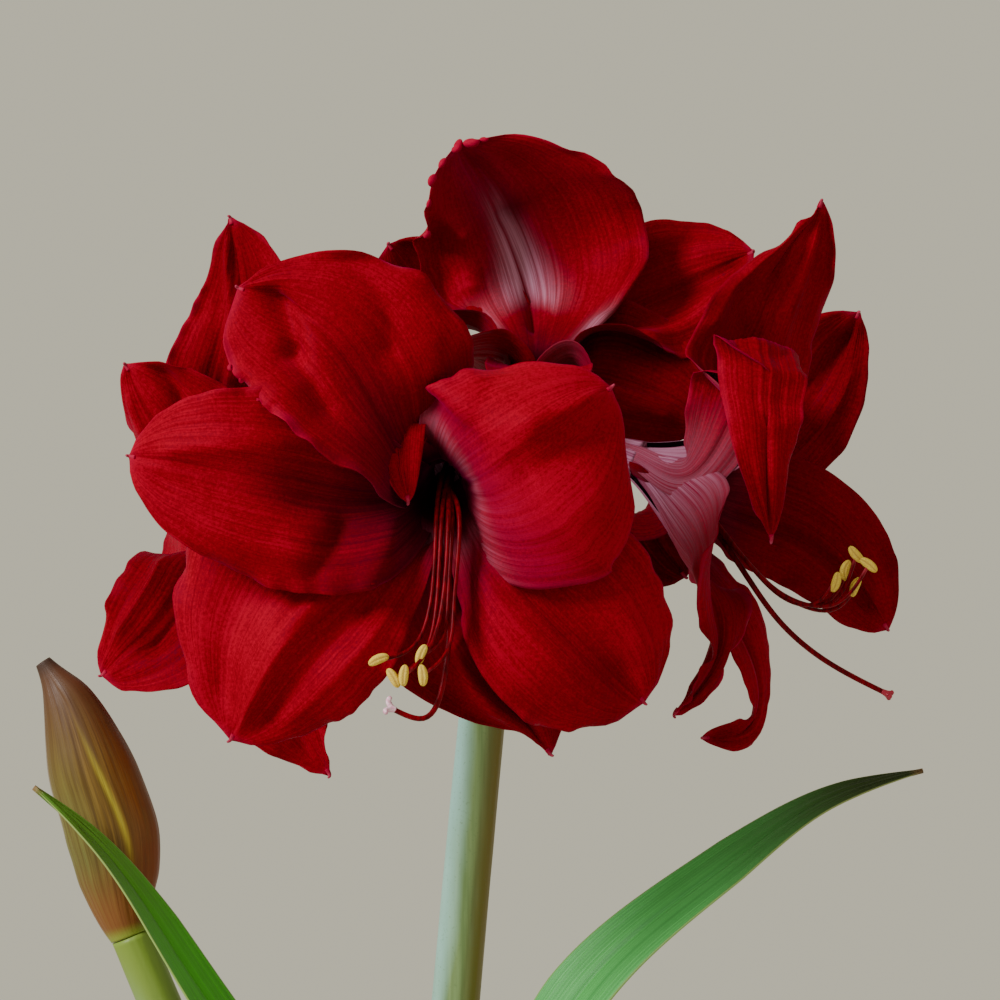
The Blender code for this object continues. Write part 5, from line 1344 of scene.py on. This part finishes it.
def tepal_thickness(grid):
    """Blade thickness: stout along the claw and midrib, thin at the margins."""
    u, share = spans(grid.shape[0] - 1, grid.shape[1] - 1)
    t = np.abs(share)
    stout = CLAW_STOUT * (1.0 - u) + MIDRIB_STOUT * bell(t, 0.0, 0.12) * (1.0 - 0.6 * u)
    return THIN_BLADE + stout * (1.0 - t**3) - MARGIN_THINNING * t**8


def thread_points(bloom, route, offset):
    throat = np.asarray(bloom.throat, float)
    axis = unit(bloom.axis)
    points = [throat - axis * THREAD_ROOT + offset, throat + axis * THREAD_RISE + offset]
    return points + [throat + np.asarray(p, float) for p in route]


def add_anther(skin, centre, direction, bend):
    """A pollen sac pair: a plump bean with a groove along it."""
    direction = unit(direction)
    sideways = unit(np.cross(direction, (0.0, 1.0, 0.0)))
    half = direction * ANTHER_LENGTH * 0.5
    points = [centre - half, centre + sideways * bend, centre + half]

    def radius(u, turn):
        return ANTHER_RADIUS * oval(u, 0.02) ** 0.8 * (1.0 - 0.3 * bell(turn, math.pi, 0.3))

    points, faces, _, turn = rod(points, radius, *ANTHER_MESH)
    # groove: where painted shade lies along the groove
    skin.add(points, faces, groove=bell(turn, math.pi, 0.2) * 0.8)


def add_stigma(skin, place, ahead, ripe):
    """Three short lobes at the end of the style, which spread and curl back as they ripen."""
    grown = 0.45 + 0.55 * ripe
    side = unit(np.cross(ahead, (0.3, 0.2, 0.9)))
    other = np.cross(ahead, side)

    def radius(u, turn):
        return math.sqrt(max(1.0 - max(u - 0.7, 0.0) ** 2 * 9.0, 0.15))

    for k in range(3):
        angle = 2.0 * math.pi * k / 3.0 + 0.4
        out = side * math.cos(angle) + other * math.sin(angle)
        points = [place + ahead * rise + out * spread * grown for rise, spread in STIGMA_ROUTE]
        points, faces, _, _ = rod(points, radius, *LOBE_MESH)
        skin.add(points, faces, ripe=ripe)


def build_bloom(name, bloom, materials, seed):
    node = "bloom_" + name
    skin = Skin()
    add_tube(skin, bloom)
    for k, (key, tepal) in enumerate(bloom.tepals.items()):
        for field, value in LOOKS[name].get(key, {}).items():
            setattr(tepal, field, value)
        grid, paint = tepal_grid(bloom, tepal, seed + 40 * k)
        add_blade(skin, grid, tepal_thickness(grid), seed + k, **paint)
        add_nub(skin, grid, seed + k)
        for side, run, size in tepal.knobs:
            add_knob(skin, grid, side, run, size, seed + k)
    skin.object(name + "_tepals", node, materials["petal"], "petal")
    threads, anthers, stigma = Skin(), Skin(), Skin()
    _, up, right = bloom_frame(bloom.axis)
    for k, route in enumerate(bloom.filaments):
        angle = 2.0 * math.pi * k / STAMENS_IN_A_RING
        offset = (up * math.cos(angle) + right * math.sin(angle)) * FILAMENT_RING
        points = thread_points(bloom, route, offset)
        shape, faces, run, _ = rod(points, tapered(FILAMENT_RADIUS, FILAMENT_TAPER), *FILAMENT_MESH)
        # run carries the painted shade near the throat and the pale tips
        threads.add(shape, faces, run=run)
        add_anther(anthers, points[-1], *ANTHERS[name][k])
    points = thread_points(bloom, bloom.style, 0.0)
    shape, faces, run, _ = rod(points, tapered(STYLE_RADIUS, STYLE_TAPER), *STYLE_MESH)
    threads.add(shape, faces, run=run * 0.97)
    add_stigma(stigma, points[-1], unit(points[-1] - points[-2]), RIPE[name])
    threads.object(name + "_filaments", node, materials["thread"], "petal")
    anthers.object(name + "_anthers", node, materials["anther"], "petal")
    stigma.object(name + "_stigma", node, materials["stigma"], "petal")


# Stalks, bud and leaves
def side_paint(points, sides):
    """How far each point of a rod looks to the left, for a painted highlight, and to the right, for painted
    shade, from 0 to 1.
    """
    rings = points.reshape(-1, sides, 3)
    out = unit(rings - rings.mean(axis=1, keepdims=True) + 1e-9).reshape(-1, 3)
    return {"lit": ease(-0.1, 1.0, -out[:, 0]), "olive": ease(0.0, 0.85, out[:, 0])}


def add_stalk(skin, route, radii, rows, sides=STALK_SIDES, ridges=0.1, fresh=0.0):
    """A round stalk with low ridges; fresh is the share of young green, or a function of the run."""
    low, high = radii
    seed = len(skin.faces) + 3

    def radius(u, turn):
        ridge = ridges * lattice(seed, turn * 5.0, u * 6.0)
        ridge = ridge + 0.06 * lattice(seed + 1, turn * 12.0, u * 20.0)
        swell = 1.0 + STALK_SWELL * math.sin(9.0 * u)
        return (low + (high - low) * u) * swell + ridge

    points, faces, run, _ = rod(route, radius, sides, rows)
    skin.add(points, faces, fresh=fresh(run) if callable(fresh) else fresh, **side_paint(points, sides))


def build_main_stalk(blooms, materials):
    skin = Skin()
    add_stalk(skin, MAIN_ROUTE, MAIN_RADIUS, MAIN_ROWS)
    umbel = np.asarray(MAIN_ROUTE[-1])
    shares = np.linspace(0.0, 1.0, len(OVARY_SWELL))

    def radius(u, turn):
        return np.interp(u, shares, OVARY_SWELL) * OVARY_RADIUS * (1.0 + OVARY_RIDGE * np.cos(3.0 * turn))

    for bloom in blooms.values():
        axis = unit(bloom.axis)
        base = np.asarray(bloom.throat, float) - axis * (TUBE_LENGTH + GAP)
        ovary = base - axis * OVARY_LENGTH
        route = [umbel - (0, 0, PEDICEL_ROOT), umbel + (0, 0, 2.0), bloom.pedicel, ovary]
        add_stalk(skin, route, (PEDICEL_RADIUS, PEDICEL_RADIUS), PEDICEL_ROWS, PEDICEL_SIDES, 0.05, 0.5)
        points, faces, _, _ = rod([ovary - axis * OVARY_SINK, base], radius, *OVARY_MESH)
        skin.add(points, faces, fresh=0.7, **side_paint(points, OVARY_MESH[0]))
    skin.object("main_stalk", "scape_main", materials["stalk"], "stalk")


def build_second_stalk(materials):
    skin = Skin()
    route = np.array(SECOND_ROUTE)
    route[-1] -= unit(route[-1] - route[-2]) * GAP
    add_stalk(skin, route, SECOND_RADIUS, SECOND_ROWS, fresh=lambda u: ease(0.6, 1.0, u))
    skin.object("second_stalk", "scape_second", materials["stalk"], "stalk")


def build_bud(materials):
    """The closed sheath of two valves, one lapped over the other along a seam on the front."""
    lead = np.subtract(SECOND_ROUTE[-1], SECOND_ROUTE[-2])

    def past_seam(u, turn):
        return turn - (SEAM_TURN - SEAM_TWIST * u)

    def radius(u, turn):
        wide = float(np.mean(np.interp(u + BUD_SMOOTHING * u, BUD_SHARES, BUD_HALF_WIDTHS)))
        deep = wide * (1.0 - (1.0 - BUD_FLATNESS) * float(ease(0.0, 0.2, u)))
        lap = LAP_HEIGHT * between(past_seam(u, turn), 0.0, 0.12, 0.9, 2.2)
        lap = lap * float(between(u, 0.1, 0.3, 0.85, 0.97))
        rib = 0.16 * lattice(71, turn * 7.0, u * 3.0) + 0.35 * lattice(72, turn * 1.6, u * 4.0)
        rib = rib * float(between(u, 0.0, 0.1, 0.85, 1.0))
        return wide + lap + rib, deep + lap + rib

    points, faces, run, turn = rod(BUD_ROUTE, radius, *BUD_MESH, lead=lead)
    skin = Skin()
    skin.add(
        points, faces, blade=blade_place(turn / math.pi - 1.0, run, 4.2),
        seam=bell(past_seam(run, turn), 0.02, 0.06) * between(run, 0.2, 0.4, 0.5, 0.85),
        ruddy=ease(0.2, 0.9, -np.sin(turn)), green=ease(-0.2, 0.7, np.sin(turn)) * ease(1.0, 0.3, run),
        # pale: a painted highlight strip along the left edge
        pale=bell(turn, 1.75, 0.08) * 0.7 * ease(0.2, 0.5, run), dusk=ease(0.45, 1.0, run) * 0.85,
        flushed=ease(0.3, 0.06, run) * 0.7, neck=ease(0.05, 0.0, run), dry=ease(0.93, 1.0, run))
    skin.object("bud_sheath", "bud", materials["bud"], "bud")


def leaf_grid(route, faces):
    """Middle surface of a strap leaf, folded a little along its middle."""
    curve, run, shares = spline(route)
    u = np.linspace(0.0, 1.0, LEAF_ROWS + 1)
    place, direction = along(curve, run, u)
    normal = facing(u, shares, [unit(f) for f in faces], direction)
    across = np.cross(direction, normal)
    width = np.interp(u, LEAF_SHARES, LEAF_HALF_WIDTHS)
    fold = math.radians(LEAF_FOLD) * ease(0.1, 0.3, u)
    grid = np.zeros((LEAF_ROWS + 1, LEAF_COLUMNS + 1, 3))
    for k, s in enumerate(np.linspace(-1.0, 1.0, LEAF_COLUMNS + 1)):
        sideways = across * (s * width * np.cos(fold))[:, None]
        grid[:, k] = place + sideways + normal * (abs(s) * width * np.sin(fold))[:, None]
    return grid


def build_leaf(name, route, faces, material, seed):
    grid = leaf_grid(route, faces)
    u, share = spans(LEAF_ROWS, LEAF_COLUMNS)
    t = np.abs(share)
    ribs = LEAF_RIB_HEIGHT * np.cos(math.pi * LEAF_RIBS * share) * (1.0 - t**6)
    sway = LEAF_SWAY * lattice(seed, share * 1.5 + 9.0, u * 9.0) * ease(0.1, 0.3, u)
    groove = -LEAF_GROOVE * bell(share, 0.0, 0.09) * ease(0.05, 0.3, u)
    grid += surface_normals(grid) * (ribs + sway + groove)[..., None]
    thickness = LEAF_THICKNESS * (1.0 - 0.62 * t**2) * (1.0 - 0.4 * u)
    zeros = np.zeros(grid.shape[:2])
    skin = Skin()
    add_blade(skin, grid, thickness, seed, aged=zeros + ease(0.72, 0.97, u),
              margin=zeros + ease(0.95, 1.0, t) * 0.6, dry=zeros + ease(0.985, 1.0, u))
    skin.object(name + "_blade", name, material, "leaf")


# Bulb, soil and pot
def build_bulb(materials):
    """The bulb with its fibrous skin, loose flakes and the torn sheaths round its neck."""
    outline = rounded([(0.0, BULB_FOOT), *BULB_LOWER, *BULB_UPPER, (NECK_RADIUS - 2.0, NECK_TOP - 1.0),
                       (12.0, NECK_TOP - 4.0), (0.5, NECK_TOP - 4.0)], 1.6)

    def bulge(radius, height, turn):
        fibres = BULB_FIBRES * lattice(91, turn * 24.0 / math.pi * 2.0, height / 30.0)
        lobes = BULB_LOBES * lattice(92, turn * 16.0 / math.pi, height / 26.0)
        return radius + (fibres + lobes) * ease(0.0, 12.0, radius), height

    points, faces, height, turn = turned(outline, BULB_SIDES, bulge)
    skin = Skin()
    skin.add(points, faces, blade=blade_place(turn / math.pi - 1.0, height / 120.0, 2.0),
             fresh=ease(NECK_TOP - 12.0, NECK_TOP, height) * 0.6)
    random = np.random.default_rng(17)
    for k in range(FLAKES):
        add_flake(skin, 2.0 * math.pi * k / FLAKES + random.uniform(-0.2, 0.2), random, k)
    for k, (radius, top) in enumerate(SHEATHS):
        add_sheath(skin, radius, top, k)
    skin.object("bulb_skin", "bulb", materials["tunic"], "bulb")


def add_skin_patch(skin, radius, turn, height, thickness, seed):
    """A thin blade of dry skin from its radius, angle and height at each point."""
    grid = np.stack([radius * np.cos(turn), radius * np.sin(turn), height + turn * 0.0], axis=-1)
    add_blade(skin, grid, np.full(grid.shape[:2], thickness), seed)


def add_flake(skin, middle, random, number):
    """A loose patch of papery skin that stands off the bulb at its ragged upper end."""
    width = random.uniform(*FLAKE_HALF_TURNS)
    low = random.uniform(*FLAKE_FEET)
    high = low + random.uniform(*FLAKE_HEIGHTS)
    u, share = spans(*FLAKE_MESH)
    ragged = 4.0 * lattice(200 + number, share * 3.0 + 7.0, 0.0)
    ragged = ragged + 1.5 * lattice(220 + number, share * 9.0, 0.0)
    height = low + (high + ragged - low) * u
    profile = np.array([*BULB_LOWER[-2:], *BULB_UPPER])
    radius = np.interp(height, profile[:, 1], profile[:, 0]) + FLAKE_GAP
    radius = radius + FLAKE_CURL * u**4 + 0.5 * lattice(240 + number, share * 2.0, u * 3.0)
    turn = middle + share * width * (1.0 - 0.25 * u)
    add_skin_patch(skin, radius, turn, height, FLAKE_THICKNESS, 30 + number)


def add_sheath(skin, radius, top, number):
    """A torn ring of dry skin round the neck."""
    u, share = spans(*SHEATH_MESH)
    round_neck = share + 1.0
    ragged = 3.2 * lattice(260 + number, round_neck * 8.0, 0.0)
    ragged = ragged + 1.2 * lattice(270 + number, round_neck * 26.0, 0.0)
    height = SHEATH_FOOT + (top + ragged - SHEATH_FOOT) * u
    spread = radius + 0.8 * u**3 + 0.5 * lattice(280 + number, round_neck * 6.0, u * 2.0)
    turn = share * math.pi * 0.998 + number
    add_skin_patch(skin, spread, turn, height, SHEATH_THICKNESS, 50 + number)


def inside_radius(height):
    """Inner radius of the pot at a height."""
    return POT_FOOT_RADIUS - POT_WALL + POT_SLOPE * height


def soil_height(radius):
    """Height of the smoothed soil surface at a distance from the middle."""
    high = inside_radius(SOIL_TOP) - GAP
    return float(np.interp(radius, (BULB_RADIUS, high * SOIL_SHOULDER, high),
                           (SOIL_TOP + SOIL_CROWN, SOIL_TOP + 0.5 * SOIL_CROWN, SOIL_TOP)))


def build_soil(materials):
    low = inside_radius(POT_FLOOR) - GAP
    high = inside_radius(SOIL_TOP) - GAP
    profile = [(1.0, POT_FLOOR + GAP), (low, POT_FLOOR + GAP)]
    profile += [(low + (high - low) * s, POT_FLOOR + (SOIL_TOP - POT_FLOOR) * s) for s in (0.25, 0.5, 0.75)]
    profile += [(r, soil_height(r)) for r in np.linspace(high, 40.0, 60)] + [(1.0, SOIL_TOP)]

    def bulge(radius, height, turn):
        top = ease(SOIL_TOP - 2.0, SOIL_TOP - 0.5, height) * ease(high + 0.5, high - 3.0, radius)
        x, y = radius * np.cos(turn), radius * np.sin(turn)
        lumps = 0.0
        for k, (rise, cell) in enumerate(SOIL_LUMPS):
            lumps = lumps + rise * lattice(301 + k, x / cell, y / cell)
        return radius, height + lumps * top

    points, faces, _, _ = turned(profile, SOIL_SIDES, bulge)
    skin = Skin()
    skin.add(points, faces)
    add_crumbs(skin, high)
    skin.object("soil_bed", "soil", materials["soil"], "soil", smooth=False)


def add_crumbs(skin, high):
    """Loose crumbs and bark bits over the soil, each an uneven solid with twenty faces."""
    random = np.random.default_rng(5)
    g = (1.0 + math.sqrt(5.0)) / 2.0
    base = [(-1, g, 0), (1, g, 0), (-1, -g, 0), (1, -g, 0), (0, -1, g), (0, 1, g),
            (0, -1, -g), (0, 1, -g), (g, 0, -1), (g, 0, 1), (-g, 0, -1), (-g, 0, 1)]
    base = unit(np.array(base, float))
    faces = [(0, 11, 5), (0, 5, 1), (0, 1, 7), (0, 7, 10), (0, 10, 11), (1, 5, 9), (5, 11, 4),
             (11, 10, 2), (10, 7, 6), (7, 1, 8), (3, 9, 4), (3, 4, 2), (3, 2, 6), (3, 6, 8),
             (3, 8, 9), (4, 9, 5), (2, 4, 11), (6, 2, 10), (8, 6, 7), (9, 8, 1)]
    for _ in range(SOIL_CRUMBS):
        distance = math.sqrt(random.uniform(CRUMBS_FROM**2, (high - 2.5) ** 2))
        angle = random.uniform(0.0, 2.0 * math.pi)
        size = CRUMB_SIZES[0] + CRUMB_SIZES[1] * random.random() ** 3
        bark = float(random.random() < BARK_SHARE)
        shape = base * random.uniform(*CRUMB_BUMPS, (12, 1)) * size * random.uniform(*CRUMB_STRETCH, 3)
        turn = random.uniform(0.0, math.pi)
        cos, sin = math.cos(turn), math.sin(turn)
        shape = shape @ np.array([[cos, -sin, 0.0], [sin, cos, 0.0], [0.0, 0.0, 1.0 - 0.4 * bark]])
        place = (distance * math.cos(angle), distance * math.sin(angle), soil_height(distance) + 0.5)
        skin.add(shape + place, faces, bark=bark)


def build_pot(materials):
    collar = POT_HEIGHT - POT_COLLAR_HEIGHT
    under_collar = POT_FOOT_RADIUS + POT_SLOPE * collar
    rim_outside = POT_TOP_RADIUS + POT_COLLAR_STEP
    rim_inside = POT_TOP_RADIUS - POT_WALL
    profile = [(POT_FOOT_RADIUS - POT_EDGE, 0.0), (POT_FOOT_RADIUS, POT_EDGE), (under_collar, collar),
               (under_collar + POT_COLLAR_STEP, collar + POT_EDGE), (rim_outside, POT_HEIGHT - POT_EDGE),
               (rim_outside - POT_EDGE, POT_HEIGHT), (rim_inside + POT_EDGE, POT_HEIGHT),
               (rim_inside, POT_HEIGHT - POT_EDGE), (inside_radius(POT_FLOOR), POT_FLOOR)]
    corners = [profile[0]]
    for before, here, after in zip(*(np.array(profile[k:]) for k in range(3))):
        back, forth = unit(here - before) * EDGE_ROUNDING, unit(after - here) * EDGE_ROUNDING
        corners += [here - back, here, here + forth]
    corners.append(profile[-1])
    outline = [(1.0, 0.0), *rounded(corners, 3.0, 1), (1.0, POT_FLOOR)]

    def bulge(radius, height, turn):
        throwing = THROWING_MARKS * lattice(401, turn * 16.0 / math.pi, height / 5.0) * ease(2.0, 8.0, height)
        return radius + throwing * ease(30.0, 50.0, radius), height

    points, faces, height, _ = turned(outline, ROUND_SIDES, bulge)
    skin = Skin()
    skin.add(points, faces, damp=ease(14.0, 2.0, height) * 0.5)
    pot = skin.object("clay_pot", "pot", materials["clay"], "pot")
    pot.data.set_sharp_from_angle(angle=math.radians(50))
    drill(pot)


def drill(pot):
    """Cuts the drain holes through the pot's floor."""
    cutters = Skin()
    for k in range(DRAIN_HOLES):
        angle = 2.0 * math.pi * (k + 0.5) / DRAIN_HOLES
        centre = np.array([math.cos(angle), math.sin(angle), 0.0]) * DRAIN_RING_RADIUS
        ends = [centre - (0, 0, DRILL_OVERSHOOT), centre + (0, 0, POT_FLOOR + DRILL_OVERSHOOT)]
        points, faces, _, _ = rod(ends, tapered(DRAIN_HOLE_RADIUS, 0.0), *DRILL_MESH)
        cutters.add(points, faces)
    tool = plain_object("drill", np.concatenate(cutters.points), cutters.faces)
    step = pot.modifiers.new("holes", "BOOLEAN")
    step.operation = "DIFFERENCE"
    step.solver = "EXACT"
    step.object = tool
    bpy.context.view_layer.update()
    cut = bpy.data.meshes.new_from_object(pot.evaluated_get(bpy.context.evaluated_depsgraph_get()))
    pot.modifiers.clear()
    pot.data = cut
    bpy.data.objects.remove(tool, do_unlink=True)


# Camera, light and floor
def add_camera():
    data = bpy.data.cameras.new("camera")
    data.sensor_width = 36.0
    data.lens = CAMERA_LENS
    camera = bpy.data.objects.new("camera", data)
    camera.location = CAMERA_PLACE
    camera.rotation_euler = (math.radians(90.0), 0.0, 0.0)
    bpy.context.scene.collection.objects.link(camera)
    bpy.context.scene.camera = camera


def add_light(name, place, aim, size, power):
    data = bpy.data.lights.new(name, "AREA")
    data.size = size
    data.energy = power
    light = bpy.data.objects.new(name, data)
    light.location = place
    light.rotation_euler = (Vector(aim) - Vector(place)).to_track_quat("-Z", "Y").to_euler()
    bpy.context.scene.collection.objects.link(light)


def add_surroundings():
    world = bpy.data.worlds.new("studio")
    world.use_nodes = True
    background = world.node_tree.nodes["Background"]
    background.inputs["Color"].default_value = (*BACKDROP, 1.0)
    background.inputs["Strength"].default_value = 1.0
    bpy.context.scene.world = world
    for light in LIGHTS:
        add_light(*light)
    turn = 2.0 * math.pi * np.arange(FLOOR_SIDES) / FLOOR_SIDES
    rim = np.stack([np.cos(turn), np.sin(turn), turn * 0.0], axis=-1) * FLOOR_RADIUS - (0.0, 0.0, FLOOR_SINK)
    floor = plain_object("floor", rim, [tuple(range(FLOOR_SIDES))])
    floor.data.materials.append(layered(**MATERIALS["floor"]))


def main():
    materials = {key: layered(**look) for key, look in MATERIALS.items() if key != "floor"}
    bright_leaf, blue_leaf = [leaf_material(*look) for look in LEAF_LOOKS]
    blooms = {"front": front_bloom(), "right": right_bloom(), "top": top_bloom(), "left": left_bloom()}
    for k, (name, bloom) in enumerate(blooms.items()):
        build_bloom(name, bloom, materials, 1000 * (k + 1))
    build_main_stalk(blooms, materials)
    build_second_stalk(materials)
    build_bud(materials)
    build_leaf("leaf_left", LEFT_LEAF_ROUTE, LEFT_LEAF_FACES, bright_leaf, 501)
    build_leaf("leaf_right", RIGHT_LEAF_ROUTE, RIGHT_LEAF_FACES, blue_leaf, 502)
    build_bulb(materials)
    build_soil(materials)
    build_pot(materials)
    add_surroundings()
    add_camera()


main()
